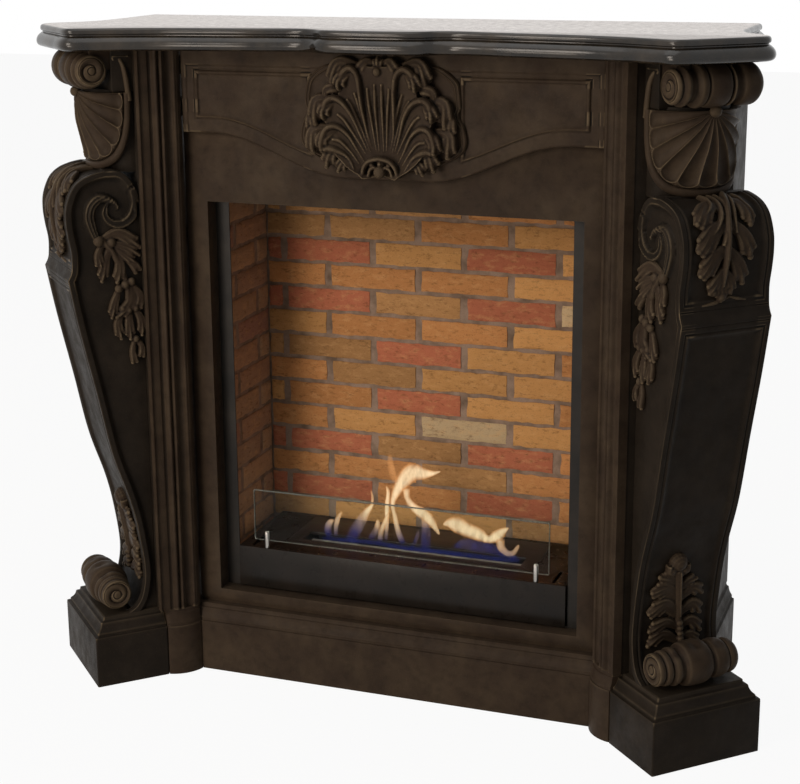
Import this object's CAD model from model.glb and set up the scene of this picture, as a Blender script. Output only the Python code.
"""Looks of a carved mantelpiece with canted scroll consoles, a brick-lined firebox and a spirit burner.

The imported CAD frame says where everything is. New pieces are closed numpy surfaces, worked out in
millimetres from the middle of the plinth rail's face at the floor (x across, y back, z up). A canted pier
has its own axes: across its front, reach out of it, and height. One function turns them into the frame.
"""

import logging
import math
from dataclasses import dataclass, field
from enum import Enum
from typing import Callable, Iterable, Sequence

import bmesh
import bpy
import numpy as np
from bpy.types import Material, Mesh, NodeSocket, NodeTree, Object
from mathutils import Matrix, Vector
from numpy.typing import NDArray


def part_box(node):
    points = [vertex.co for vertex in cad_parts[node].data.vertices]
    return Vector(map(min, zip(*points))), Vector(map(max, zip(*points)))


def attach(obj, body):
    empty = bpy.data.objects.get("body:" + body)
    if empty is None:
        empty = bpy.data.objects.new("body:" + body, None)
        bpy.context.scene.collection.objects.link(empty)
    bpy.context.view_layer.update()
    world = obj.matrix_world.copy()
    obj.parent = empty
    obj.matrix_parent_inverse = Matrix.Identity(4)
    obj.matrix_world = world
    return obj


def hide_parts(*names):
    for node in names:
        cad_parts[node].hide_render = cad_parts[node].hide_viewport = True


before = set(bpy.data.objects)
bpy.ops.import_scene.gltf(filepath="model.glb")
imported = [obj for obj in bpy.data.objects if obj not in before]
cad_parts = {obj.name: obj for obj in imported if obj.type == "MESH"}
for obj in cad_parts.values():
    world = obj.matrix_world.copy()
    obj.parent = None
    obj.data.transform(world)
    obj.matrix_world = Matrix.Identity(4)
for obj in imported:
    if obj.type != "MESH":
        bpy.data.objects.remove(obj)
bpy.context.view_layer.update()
LOG = logging.getLogger("fireplace")
Array = NDArray[np.float64]
Pairs = Sequence[tuple[float, float]]
Placing = Callable[[Array], Array]

MM = 0.001
RAIL_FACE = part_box("plinth_rail")[0].y
SHELF_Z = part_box("mantel_shelf")[0].z / MM
SHELF_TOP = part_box("mantel_shelf")[1].z / MM
PLINTH_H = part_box("plinth_rail")[1].z / MM
RAIL_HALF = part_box("inner_frame")[1].x / MM - 10
WALL_Y = (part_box("mantel_shelf")[1].y - RAIL_FACE) / MM
DIAG = math.sqrt(0.5)
SLOT_OF_CASTING = "dark_casting"


# ---------------------------------------------------------------- curves and small sums

def ease(t: Array) -> Array:
    """Smooth step 3t^2 - 2t^3 of values clipped to 0..1."""
    t = np.clip(t, 0, 1)
    return t * t * (3 - 2 * t)


def bell(x: Array, width: float) -> Array:
    """Gaussian bump exp(-(x / width)^2)."""
    return np.exp(-((x / width) ** 2))


def table(x: Array, pairs: Pairs) -> Array:
    """Straight-line interpolation of (x, value) pairs."""
    xs, ys = np.array(pairs, float).T
    return np.interp(x, xs, ys)


def catmull(points: Sequence[Sequence[float]], steps: int) -> Array:
    """Catmull-Rom curve through points: a cubic between each two, with tangents half the chord beside them.

    Args:
        points: the points to pass through, of 2 or 3 numbers each.
        steps: pieces of the curve between two points.

    Returns:
        An array of (len(points) - 1) * steps + 1 points.
    """
    p = np.asarray(points, float)
    ext = np.vstack([p[:1], p, p[-1:]])
    t = (np.arange(steps) / steps)[None, :, None]
    a, b, c, d = (ext[i:len(p) - 1 + i, None, :] for i in range(4))
    curve = (2 * b + (c - a) * t + (2 * a - 5 * b + 4 * c - d) * t**2 + (3 * b - a - 3 * c + d) * t**3) / 2
    return np.vstack([curve.reshape(-1, p.shape[1]), p[-1:]])


def lengths(curve: Array) -> Array:
    """Distance along a curve at each of its points."""
    return np.concatenate([[0], np.cumsum(np.linalg.norm(np.diff(curve, axis=0), axis=1))])


def along(curve: Array, where: Array) -> Array:
    """Points of a curve at given distances along it."""
    run = lengths(curve)
    return np.stack([np.interp(where, run, curve[:, i]) for i in range(curve.shape[1])], axis=-1)


def tangents(curve: Array) -> Array:
    """Unit tangents of a curve at its points."""
    t = np.gradient(curve, axis=0)
    return t / np.maximum(np.linalg.norm(t, axis=1, keepdims=True), 1e-9)


def inset(curve: Array, distance: Array | float) -> Array:
    """A flat curve moved to its right by a distance."""
    t = tangents(curve)
    return curve + np.stack([t[:, 1], -t[:, 0]], axis=1) * np.reshape(distance, (-1, 1))


def nearest(points: Array, curve: Array) -> tuple[Array, Array]:
    """Distance from points to a flat curve, and how far along the curve the nearest place lies.

    Args:
        points: array of (..., 2).
        curve: array of (n, 2).

    Returns:
        The two arrays, shaped like points without its last axis.
    """
    flat = points.reshape(-1, 2)
    a, b = curve[:-1], curve[1:]
    ab = b - a
    size = np.maximum((ab**2).sum(1), 1e-9)
    best = np.full(len(flat), 1e9)
    where = np.zeros(len(flat))
    run = lengths(curve)
    for start in range(0, len(flat), 4000):
        p = flat[start:start + 4000, None, :]
        t = np.clip(((p - a) * ab).sum(2) / size, 0, 1)
        gap = np.linalg.norm(p - a - t[..., None] * ab, axis=2)
        k = gap.argmin(1)
        rows = np.arange(len(k))
        best[start:start + 4000] = gap[rows, k]
        where[start:start + 4000] = run[k] + t[rows, k] * np.sqrt(size[k])
    return best.reshape(points.shape[:-1]), where.reshape(points.shape[:-1])


def ripple(points: Array, size: float, seed: int) -> Array:
    """Smooth random waves: the mean of nine sines of about one wavelength in seeded directions.

    Args:
        points: array of (..., 3) in millimetres.
        size: wavelength in millimetres.
        seed: number that picks the waves.

    Returns:
        Values of about -1..1.
    """
    rng = np.random.default_rng(seed)
    waves = rng.normal(size=(9, 3))
    waves *= (2 * np.pi / size) * rng.uniform(0.6, 1.5, (9, 1)) / np.linalg.norm(waves, axis=1, keepdims=True)
    return np.sin(points @ waves.T + rng.uniform(0, 6.28, 9)).mean(-1) * 2.2


# ---------------------------------------------------------------- closed solids

@dataclass
class Solid:
    """Closed mesh in millimetres: points, and arrays of faces with as many corners as columns."""

    points: Array
    faces: list[NDArray[np.int64]]

    def placed(self, place: Placing) -> "Solid":
        """The same faces on points moved by a function."""
        return Solid(place(self.points), list(self.faces))

    def mirrored(self) -> "Solid":
        """The copy on the other side of the plane x = 0."""
        return Solid(self.points * np.array([-1.0, 1, 1]), [f[:, ::-1] for f in self.faces])

    def volume(self) -> float:
        """Signed volume: the sum of p0 . (p1 x p2) / 6 over each face's fan of triangles."""
        total = 0.0
        centre = self.points.mean(0)
        for f in self.faces:
            p = self.points[f] - centre
            for k in range(1, f.shape[1] - 1):
                total += np.einsum("ij,ij->", p[:, 0], np.cross(p[:, k], p[:, k + 1])) / 6
        return total

    def outward(self) -> "Solid":
        """The solid with its faces turned to point out of it."""
        if self.volume() < 0:
            self.faces = [f[:, ::-1] for f in self.faces]
        return self


def joined(solids: Sequence[Solid]) -> Solid:
    """Several solids as one mesh, each with its faces outwards."""
    points, faces, start = [], [], 0
    for s in solids:
        s.outward()
        points.append(s.points)
        faces += [f + start for f in s.faces]
        start += len(s.points)
    return Solid(np.vstack(points), faces)


def quads(rows: int, cols: int, wrap: bool) -> NDArray[np.int64]:
    """Quads of a grid stored row by row; wrap joins the last column to the first."""
    i = np.arange(rows - 1)[:, None]
    j = np.arange(cols if wrap else cols - 1)[None, :]
    k = (j + 1) % cols
    return np.stack([i * cols + j, i * cols + k, (i + 1) * cols + k, (i + 1) * cols + j], -1).reshape(-1, 4)


def tube(rings: Array, flat_ends: bool = False) -> Solid:
    """Closed solid through rings of points that follow each other.

    Args:
        rings: array of (rings, points, 3).
        flat_ends: one face over each end ring, for flat outlines, instead of a fan from its middle.

    Returns:
        The solid.
    """
    m, n = rings.shape[:2]
    points = rings.reshape(-1, 3)
    faces = [quads(m, n, True)]
    ends = (np.arange(n), (m - 1) * n + np.arange(n))
    if flat_ends:
        faces += [ends[0][None, ::-1], ends[1][None, :]]
        return Solid(points, faces)
    middle = len(points)
    points = np.vstack([points, rings[0].mean(0), rings[-1].mean(0)])
    faces.append(np.stack([np.roll(ends[0], -1), ends[0], np.full(n, middle)], 1))
    faces.append(np.stack([ends[1], np.roll(ends[1], -1), np.full(n, middle + 1)], 1))
    return Solid(points, faces)


def slab(front: Array, back: Array) -> Solid:
    """Closed solid between two grids of (rows, columns, 3) points that face each other."""
    m, n = front.shape[:2]
    top = quads(m, n, False)
    rim = np.concatenate([np.arange(n - 1), np.arange(m - 1) * n + n - 1,
                          (m - 1) * n + np.arange(n - 1, 0, -1), np.arange(m - 1, 0, -1) * n])
    nxt = np.roll(rim, -1)
    size = m * n
    sides = np.stack([rim, rim + size, nxt + size, nxt], 1)
    return Solid(np.vstack([front.reshape(-1, 3), back.reshape(-1, 3)]), [top, top[:, ::-1] + size, sides])


def level(outline: Array, z: float) -> Array:
    """A flat outline of (x, y) points at a height."""
    return np.column_stack([outline, np.full(len(outline), z)])


def loft(rings: Iterable[Array]) -> Solid:
    """Closed solid through flat outlines that follow each other, with flat ends."""
    return tube(np.array(list(rings)), flat_ends=True)


def rounded_outline(corners: Pairs, radius: float, steps: int = 4) -> Array:
    """Closed polygon whose corners are cut back by a radius along both sides and bent between the cuts."""
    c = np.asarray(corners, float)
    before, after = np.roll(c, 1, axis=0), np.roll(c, -1, axis=0)
    t = np.linspace(0, 1, steps)[None, :, None]

    def cut(towards: Array) -> Array:
        gap = towards - c
        far = np.linalg.norm(gap, axis=1, keepdims=True)
        return c + gap / far * np.minimum(radius, far * 0.45)

    a, b = cut(before)[:, None], cut(after)[:, None]
    bent = (1 - t) ** 2 * a + 2 * t * (1 - t) * c[:, None] + t**2 * b
    return bent.reshape(-1, 2)


def rounded_box(x: tuple[float, float], y: tuple[float, float], radius: float, steps: int = 4) -> Array:
    """Rounded rectangle between two places across and two places along."""
    return rounded_outline([(x[0], y[0]), (x[0], y[1]), (x[1], y[1]), (x[1], y[0])], radius, steps)


def blade(spine: Array, width: Array, height: Array, sides: int = 10) -> Solid:
    """Tapered bar of oval section along a curve in (u, v, h), with h the height over the ground.

    The section at each point is side * width * cos(a) + up * height * sin(a), where side lies in the
    ground square to the curve, and up is square to both.

    Args:
        spine: array of (n, 3).
        width: half width at each point.
        height: half height at each point.
        sides: points round the section.

    Returns:
        The closed bar.
    """
    t = tangents(spine)
    side = np.stack([-t[:, 1], t[:, 0], np.zeros(len(t))], 1)
    side /= np.maximum(np.linalg.norm(side, axis=1, keepdims=True), 1e-6)
    up = np.cross(t, side)
    a = np.linspace(0, 2 * np.pi, sides, endpoint=False)
    w, h = np.reshape(width, (-1, 1, 1)), np.reshape(height, (-1, 1, 1))
    ring = (spine[:, None] + side[:, None] * w * np.cos(a)[None, :, None]
            + up[:, None] * h * np.sin(a)[None, :, None])
    return tube(ring)


def ball(centre: Sequence[float], radii: Sequence[float], sides: int = 12) -> Solid:
    """Oval ball: rings of radius sin(latitude) at heights cos(latitude), scaled to three radii."""
    lat = np.linspace(0.12, math.pi - 0.12, sides)[:, None]
    lon = np.linspace(0, 2 * np.pi, sides * 2, endpoint=False)[None, :]
    ring = np.stack([np.sin(lat) * np.cos(lon), np.sin(lat) * np.sin(lon), np.cos(lat) + 0 * lon], -1)
    return tube(ring * np.asarray(radii, float) + np.asarray(centre, float))


def pier(points: Array) -> Array:
    """(across, reach, z) of the right pier as (x, y, z): both plan axes lie at 45 degrees to the rail."""
    a, r, z = points[..., 0], points[..., 1], points[..., 2]
    return np.stack([RAIL_HALF + (a + r) * DIAG, (a - r) * DIAG, z], -1)


def pier_plan(points: Array | Pairs) -> Array:
    """(across, reach) of the right pier as (x, y)."""
    return pier(level(np.asarray(points, float), 0))[:, :2]


def evenly(values: Sequence[float]) -> list[tuple[float, float]]:
    """Values at even shares of a run, as (share, value) pairs."""
    return [(k / (len(values) - 1), v) for k, v in enumerate(values)]


# ---------------------------------------------------------------- meshes and pieces

def fetched(items: bpy.types.bpy_prop_collection, key: str, width: int, kind: type = float) -> Array:
    """A property of every item of a mesh, in rows of a width."""
    values = np.zeros(len(items) * width, kind)
    items.foreach_get(key, values)
    return values.reshape(-1, width)


def curvature(mesh: Mesh, reach: float, rounds: int) -> Array:
    """How strongly the surface bends outwards at each point, from -1 in grooves to 1 on ridges.

    It is the gap between a point and the mean of its neighbours, along the normal, over the square of
    the edge length, times a reach in millimetres, and then smoothed over the neighbours.

    Args:
        mesh: the mesh to measure.
        reach: radius in millimetres of a ridge that counts as 1.
        rounds: rounds of smoothing.

    Returns:
        One value for each vertex.
    """
    n = len(mesh.vertices)
    points = fetched(mesh.vertices, "co", 3) / MM
    normals = fetched(mesh.vertex_normals, "vector", 3)
    a, b = fetched(mesh.edges, "vertices", 2, np.int64).T
    count = np.maximum(np.bincount(a, minlength=n) + np.bincount(b, minlength=n), 1)

    def mean(values: Array) -> Array:
        return (np.bincount(a, values[b], n) + np.bincount(b, values[a], n)) / count

    size = ((points[a] - points[b]) ** 2).sum(1)
    spread = (np.bincount(a, size, n) + np.bincount(b, size, n)) / count
    gap = np.stack([mean(points[:, i]) for i in range(3)], 1) - points
    bend = np.clip(-4 * (gap * normals).sum(1) / np.maximum(spread, 0.2) * reach / 2, -3, 3)
    for _ in range(rounds):
        bend = (bend + mean(bend)) / 2
    return np.clip(bend, -1, 1)


def mesh_from(name: str, solid: Solid) -> Mesh:
    """A Blender mesh of a solid, in metres in the CAD frame."""
    points = solid.points * MM
    points[:, 1] += RAIL_FACE
    mesh = bpy.data.meshes.new(name)
    mesh.vertices.add(len(points))
    mesh.vertices.foreach_set("co", points.ravel())
    loops = np.concatenate([f.ravel() for f in solid.faces])
    sizes = np.concatenate([np.full(len(f), f.shape[1]) for f in solid.faces])
    mesh.loops.add(len(loops))
    mesh.loops.foreach_set("vertex_index", loops.astype(np.int32))
    mesh.polygons.add(len(sizes))
    mesh.polygons.foreach_set("loop_start", np.concatenate([[0], np.cumsum(sizes)[:-1]]).astype(np.int32))
    mesh.update(calc_edges=True)
    mesh.validate()
    return mesh


def finish_mesh(mesh: Mesh, sharp: float) -> None:
    """Smooth shading with edges sharper than an angle in degrees left hard."""
    mesh.polygons.foreach_set("use_smooth", np.ones(len(mesh.polygons), bool))
    mesh.set_sharp_from_angle(angle=math.radians(sharp))


def set_values(mesh: Mesh, name: str, values: Array, domain: str = "POINT") -> None:
    """Stores one number, or one colour of four, for each point or face."""
    kind = "FLOAT" if values.ndim == 1 else "FLOAT_COLOR"
    layer = mesh.attributes.new(name, kind, domain)
    layer.data.foreach_set("value" if values.ndim == 1 else "color", values.astype(np.float32).ravel())


def object_of(mesh: Mesh) -> Object:
    """An object at the origin that shows a mesh."""
    piece = bpy.data.objects.new(mesh.name, mesh)
    bpy.context.scene.collection.objects.link(piece)
    return piece


def settle(piece: Object, material: Material, body: str, slot: str, replaced: Sequence[str]) -> Object:
    """Gives a piece its finish, its body, its slot and the CAD nodes it stands for."""
    piece.data.materials.clear()
    piece.data.materials.append(material)
    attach(piece, body)
    for node in replaced:
        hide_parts(node)
    LOG.info("%s: %d faces", piece.name, len(piece.data.polygons))
    return piece


def add_piece(name: str, solid: Solid, material: Material, slot: str = SLOT_OF_CASTING,
              replaced: Sequence[str] = (), body: str = "surround", sharp: float = 40.0,
              ridge: float = 3.0, rounds: int = 1) -> Object:
    """Makes a solid into a piece of the model, with its wear worked out from its curvature.

    Args:
        name: the piece's name.
        solid: its shape in millimetres.
        material: its finish.
        slot: the record's slot of that finish.
        replaced: CAD nodes that it stands for.
        body: the CAD body that it rides on.
        sharp: angle in degrees above which an edge stays hard.
        ridge: radius in millimetres of a ridge that is fully rubbed.
        rounds: rounds of smoothing of the wear.

    Returns:
        The object.
    """
    mesh = mesh_from(name, solid.outward())
    finish_mesh(mesh, sharp)
    set_values(mesh, "wear", curvature(mesh, ridge, rounds))
    return settle(object_of(mesh), material, body, slot, replaced)


def add_pair(name: str, solid: Solid, material: Material, nodes: Sequence[str],
             slot: str = SLOT_OF_CASTING, **settings: float) -> None:
    """Adds a piece of the right side and its mirror image on the left.

    Args:
        name: name without its side.
        solid: the right-hand shape.
        material: the finish of both.
        nodes: names, without their side, of the CAD nodes that the pieces stand for.
        slot: the record's slot.
        settings: sharp, ridge and rounds, as add_piece takes them.
    """
    for side, shape in (("right", solid), ("left", solid.mirrored())):
        add_piece(f"{side}_{name}", shape, material, slot, [f"{side}_{n}" for n in nodes], **settings)


def fused(solid: Solid, voxel: float, rounds: int = 2) -> Solid:
    """Overlapping closed solids welded into one skin by a voxel remesh, then smoothed.

    Args:
        solid: the overlapping solids as one mesh.
        voxel: size of the remesh in millimetres.
        rounds: rounds of smoothing, each moving points half way to the mean of their neighbours.

    Returns:
        The welded solid.
    """
    raw = object_of(mesh_from("weld", solid))
    remesh = raw.modifiers.new("Weld", "REMESH")
    remesh.mode = "VOXEL"
    remesh.voxel_size = voxel * MM
    if rounds:
        smooth = raw.modifiers.new("Smooth", "SMOOTH")
        smooth.factor = 0.5
        smooth.iterations = rounds
    graph = bpy.context.evaluated_depsgraph_get()
    mesh = bpy.data.meshes.new_from_object(raw.evaluated_get(graph))
    points = fetched(mesh.vertices, "co", 3)
    points[:, 1] -= RAIL_FACE
    sizes = fetched(mesh.polygons, "loop_total", 1, np.int32)[:, 0]
    loops = fetched(mesh.loops, "vertex_index", 1, np.int32)[:, 0]
    starts = np.concatenate([[0], np.cumsum(sizes)[:-1]])
    faces = [loops[starts[sizes == k][:, None] + np.arange(k)] for k in np.unique(sizes)]
    bpy.data.objects.remove(raw)
    return Solid(points / MM, faces)


def softened(node: str, name: str, material: Material, width: float, segments: int = 2,
             angle: float = 30.0, body: str = "surround", slot: str = SLOT_OF_CASTING) -> Object:
    """A copy of a CAD node with its doubles merged and its hard edges rounded, which replaces the node.

    Args:
        node: the CAD node.
        name: the new piece's name.
        material: its finish.
        width: width of the rounded edges in millimetres.
        segments: faces across a rounded edge.
        angle: least angle in degrees of an edge that is rounded.
        body: the body it rides on.
        slot: the record's slot.

    Returns:
        The object.
    """
    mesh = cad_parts[node].data.copy()
    mesh.name = name
    bm = bmesh.new()
    bm.from_mesh(mesh)
    bmesh.ops.remove_doubles(bm, verts=bm.verts, dist=2e-5)
    bmesh.ops.dissolve_limit(bm, angle_limit=math.radians(2), verts=bm.verts, edges=bm.edges)
    bmesh.ops.recalc_face_normals(bm, faces=bm.faces)
    hard = [e for e in bm.edges if len(e.link_faces) == 2 and e.calc_face_angle(0) > math.radians(angle)]
    cut = bmesh.ops.bevel(bm, geom=hard, offset=width * MM, segments=segments, profile=0.5, affect="EDGES",
                          clamp_overlap=True, loop_slide=True)
    bm.faces.index_update()
    rubbed = {f.index for f in cut["faces"]}
    bm.to_mesh(mesh)
    bm.free()
    finish_mesh(mesh, 50.0)
    values = np.zeros(len(mesh.polygons))
    values[list(rubbed)] = 0.6
    set_values(mesh, "wear", values, "FACE")
    return settle(object_of(mesh), material, body, slot, [node])


# ---------------------------------------------------------------- finishes

def linear(code: str, alpha: float = 1.0) -> tuple[float, float, float, float]:
    """An sRGB hex colour as linear RGBA."""
    parts = [int(code.lstrip("#")[i:i + 2], 16) / 255 for i in (0, 2, 4)]
    r, g, b = (c / 12.92 if c <= 0.04045 else ((c + 0.055) / 1.055) ** 2.4 for c in parts)
    return r, g, b, alpha


def add_node(tree: NodeTree, kind: str, inputs: dict | None = None, **settings: object) -> bpy.types.Node:
    """Adds a node with its settings; an input is a socket to link, or a value to set."""
    made = tree.nodes.new(kind)
    for key, value in settings.items():
        setattr(made, key, value)
    for key, value in (inputs or {}).items():
        if isinstance(value, NodeSocket):
            tree.links.new(value, made.inputs[key])
        else:
            made.inputs[key].default_value = value
    return made


class Paint:
    """A material being built: its tree, its shader, and Object coordinates as the base of its patterns."""

    def __init__(self, name: str, **shader: object) -> None:
        """Starts a material with a Principled shader and the given constants on its sockets."""
        self.material = bpy.data.materials.new(name)
        self.material.use_nodes = True
        self.tree = self.material.node_tree
        self.tree.nodes.clear()
        self.shader = add_node(self.tree, "ShaderNodeBsdfPrincipled", shader)
        self.out = add_node(self.tree, "ShaderNodeOutputMaterial", {"Surface": self.shader.outputs[0]})
        self.place = add_node(self.tree, "ShaderNodeTexCoord").outputs["Object"]

    def noise(self, size_mm: float, detail: float = 3.0, roughness: float = 0.55,
              stretch: tuple[float, float, float] = (1, 1, 1)) -> NodeSocket:
        """Noise whose features are about a size in millimetres, stretched along an axis if asked."""
        place = self.place
        if stretch != (1, 1, 1):
            place = add_node(self.tree, "ShaderNodeMapping", {"Vector": place, "Scale": stretch}).outputs[0]
        return add_node(self.tree, "ShaderNodeTexNoise", {
            "Vector": place, "Scale": 1 / (size_mm * MM), "Detail": detail, "Roughness": roughness,
        }).outputs["Fac"]

    def band(self, value: NodeSocket, low: float, high: float, out_low: float = 0.0,
             out_high: float = 1.0) -> NodeSocket:
        """Maps a value from one range to another, clamped."""
        return add_node(self.tree, "ShaderNodeMapRange", {
            "Value": value, "From Min": low, "From Max": high, "To Min": out_low, "To Max": out_high,
        }).outputs[0]

    def sum(self, a: NodeSocket | float, b: NodeSocket | float, operation: str = "ADD") -> NodeSocket:
        """Two values added, or joined by another operation."""
        return add_node(self.tree, "ShaderNodeMath", {0: a, 1: b}, operation=operation).outputs[0]

    def mix(self, factor: NodeSocket | float, a: object, b: object, blend: str = "MIX") -> NodeSocket:
        """Two colours mixed by a factor; a hex string is a colour of its own."""
        values = [linear(v) if isinstance(v, str) else v for v in (a, b)]
        made = add_node(self.tree, "ShaderNodeMix", {0: factor, 6: values[0], 7: values[1]},
                        data_type="RGBA", blend_type=blend)
        return made.outputs[2]

    def value(self, name: str, output: str = "Fac") -> NodeSocket:
        """The number, or with Color the colour, that a mesh stores under a name."""
        return add_node(self.tree, "ShaderNodeAttribute", attribute_name=name).outputs[output]

    def bump(self, height: NodeSocket, depth_mm: float, before: NodeSocket | None = None) -> NodeSocket:
        """A bump of a depth in millimetres, laid over an earlier one."""
        inputs = {"Height": height, "Distance": depth_mm * MM, "Strength": 1.0}
        if before is not None:
            inputs["Normal"] = before
        return add_node(self.tree, "ShaderNodeBump", inputs).outputs[0]

    def set(self, **inputs: object) -> None:
        """Links sockets to the shader; underscores in the names stand for spaces."""
        for key, value in inputs.items():
            self.tree.links.new(value, self.shader.inputs[key.replace("_", " ")])


@dataclass(frozen=True)
class WaxedCasting:
    """Cast iron, sand cast, painted brown-black and waxed.

    To the eye it is a dark satin skin with a faint sand grain, soft hollows, dull dust in the grooves
    and grey-brown rubbing on the ridges.
    """

    name: str = "waxed cast iron"
    deep: str = "#12100e"
    body: str = "#362c24"
    cloud: str = "#43382d"
    rubbed: str = "#7d6e58"
    grain_mm: float = 1.8
    cloud_mm: float = 70.0

    def build(self) -> Material:
        """Makes the material."""
        p = Paint(self.name, **{"IOR": 1.45, "Specular IOR Level": 0.06})
        wear = p.value("wear")
        grain = p.noise(self.grain_mm, 4, 0.65)
        patch = p.noise(16.0, 4, 0.6)
        base = p.mix(p.band(p.noise(self.cloud_mm, 4), 0.38, 0.66), self.body, self.cloud)
        base = p.mix(p.band(patch, 0.45, 0.75, 0, 0.35), base, self.deep)
        hollow = p.band(wear, -0.06, -0.55, 0, 0.85)
        base = p.mix(hollow, base, self.deep)
        ridge = p.sum(p.band(wear, 0.10, 0.75), p.band(patch, 0.3, 0.62, 0.35, 1), "MULTIPLY")
        base = p.mix(p.sum(ridge, 0.75, "MULTIPLY"), base, self.rubbed)
        speck = p.sum(p.band(grain, 0.62, 0.74), 0.22, "MULTIPLY")
        base = p.mix(speck, base, self.rubbed)
        rough = p.sum(p.band(p.noise(24.0, 3), 0.3, 0.7, 0.42, 0.6), p.band(wear, 0.1, 0.8, 0, -0.08))
        soft = p.bump(p.noise(26.0, 2, 0.4), 0.9)
        skin = p.bump(grain, 0.28, soft)
        p.set(Base_Color=base, Roughness=rough, Normal=skin)
        return p.material


@dataclass(frozen=True)
class PolishedSlab:
    """Black shelf slab, ground and polished: a mirror-dark face with faint paler clouds and hairline wear."""

    name: str = "polished black slab"
    black: str = "#1c1813"
    cloud: str = "#3a3228"
    vein: str = "#574e45"
    cloud_mm: float = 45.0

    def build(self) -> Material:
        """Makes the material."""
        p = Paint(self.name, **{"IOR": 1.5, "Specular IOR Level": 0.33, "Coat Weight": 0.05,
                                "Coat Roughness": 0.08})
        base = p.mix(p.band(p.noise(self.cloud_mm, 6, 0.6), 0.4, 0.75), self.black, self.cloud)
        vein = p.sum(p.band(p.noise(9.0, 8, 0.7), 0.66, 0.78), 0.6, "MULTIPLY")
        base = p.mix(vein, base, self.vein)
        p.set(Base_Color=base, Roughness=p.band(p.noise(14.0, 5, 0.7), 0.3, 0.7, 0.12, 0.26),
              Normal=p.bump(p.noise(40.0, 2), 0.12))
        return p.material


@dataclass(frozen=True)
class StoveBlack:
    """Sheet steel in baked heat-proof black: even satin black with a fine orange-peel skin."""

    name: str
    colour: str = "#1b1917"
    faded: str = "#2b2723"
    rough: float = 0.42
    peel_mm: float = 1.4

    def build(self) -> Material:
        """Makes the material."""
        p = Paint(self.name, **{"IOR": 1.5, "Specular IOR Level": 0.15})
        base = p.mix(p.band(p.noise(60.0, 3), 0.35, 0.7), self.colour, self.faded)
        base = p.mix(p.sum(p.band(p.value("wear"), 0.2, 0.8), 0.4, "MULTIPLY"), base, "#5a544c")
        rough = p.band(p.noise(18.0, 3), 0.3, 0.7, self.rough - 0.06, self.rough + 0.08)
        p.set(Base_Color=base, Roughness=rough, Normal=p.bump(p.noise(self.peel_mm, 2), 0.05))
        return p.material


@dataclass(frozen=True)
class BrushedSteel:
    """Stainless or zinc-plated steel brushed along one axis: fine streaks that spread its reflections."""

    name: str
    colour: str = "#b3afa8"
    streak: str = "#837f79"
    rough: float = 0.3
    streak_mm: float = 0.8
    grain: tuple[float, float, float] = (0.02, 1, 1)

    def build(self) -> Material:
        """Makes the material."""
        p = Paint(self.name, **{"Metallic": 1.0})
        lines = p.noise(self.streak_mm, 3, 0.6, self.grain)
        tone = p.noise(35.0, 3)
        base = p.mix(p.band(lines, 0.35, 0.7), self.colour, self.streak)
        base = p.mix(p.band(tone, 0.45, 0.75, 0, 0.35), base, self.streak)
        rough = p.band(lines, 0.3, 0.7, self.rough - 0.08, self.rough + 0.1)
        p.set(Base_Color=base, Roughness=rough, Normal=p.bump(lines, 0.03))
        return p.material


@dataclass(frozen=True)
class BrickClay:
    """Hand-moulded facing brick: dry, sandy and pitted, its colour drifting inside each brick."""

    name: str = "hand-moulded brick"
    sand: str = "#d6a872"
    burnt: str = "#5e3f26"

    def build(self) -> Material:
        """Makes the material; each brick's own colour comes with its mesh."""
        p = Paint(self.name, **{"IOR": 1.45, "Specular IOR Level": 0.2, "Roughness": 0.9})
        own = p.value("clay", "Color")
        fine = p.noise(2.2, 5, 0.7)
        wide = p.noise(22.0, 5, 0.65, (1, 1, 2.2))
        base = p.mix(p.band(wide, 0.5, 0.72, 0, 0.45), own, self.sand)
        base = p.mix(p.band(p.noise(13.0, 5, 0.7, (1, 1, 2.5)), 0.54, 0.7, 0, 0.6), base, self.burnt)
        base = p.mix(p.band(fine, 0.56, 0.72, 0, 0.55), base, self.burnt)
        base = p.mix(p.band(p.value("wear"), -0.1, -0.6, 0, 0.5), base, self.burnt)
        drag = p.bump(p.noise(7.0, 5, 0.7, (1, 1, 2.0)), 1.2)
        p.set(Base_Color=base, Normal=p.bump(fine, 0.5, drag))
        return p.material


@dataclass(frozen=True)
class LimeMortar:
    """Raked lime mortar: dull grey-brown with sand grains standing out."""

    name: str = "lime mortar"
    colour: str = "#978171"
    dark: str = "#6b594b"

    def build(self) -> Material:
        """Makes the material."""
        p = Paint(self.name, **{"Specular IOR Level": 0.2, "Roughness": 0.95})
        grit = p.noise(1.6, 4, 0.7)
        base = p.mix(p.band(p.noise(30.0, 4), 0.4, 0.7), self.colour, self.dark)
        base = p.mix(p.band(grit, 0.55, 0.7, 0, 0.5), base, self.dark)
        p.set(Base_Color=base, Normal=p.bump(grit, 0.6))
        return p.material


@dataclass(frozen=True)
class ClearGlass:
    """Toughened float glass, clear across and faintly green.

    Its IOR is below the usual 1.5: the real sheet stands in a dark room and shows next to no reflection.
    """

    name: str = "toughened glass"
    tint: str = "#eef4f1"

    def build(self) -> Material:
        """Makes the material."""
        p = Paint(self.name, **{"Base Color": linear(self.tint), "IOR": 1.12, "Transmission Weight": 1.0})
        p.set(Roughness=p.band(p.noise(30.0, 3), 0.45, 0.8, 0.0, 0.03))
        return p.material


@dataclass(frozen=True)
class GroundEdge:
    """The ground rim of the glass: frosted, and bright because it carries the light of the whole sheet."""

    name: str = "ground glass edge"
    pale: str = "#8d928b"
    grey: str = "#5f645e"

    def build(self) -> Material:
        """Makes the material."""
        p = Paint(self.name, **{"Roughness": 0.45, "IOR": 1.5, "Specular IOR Level": 0.3})
        p.set(Base_Color=p.mix(p.band(p.noise(3.0, 3), 0.35, 0.65), self.pale, self.grey))
        return p.material


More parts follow.
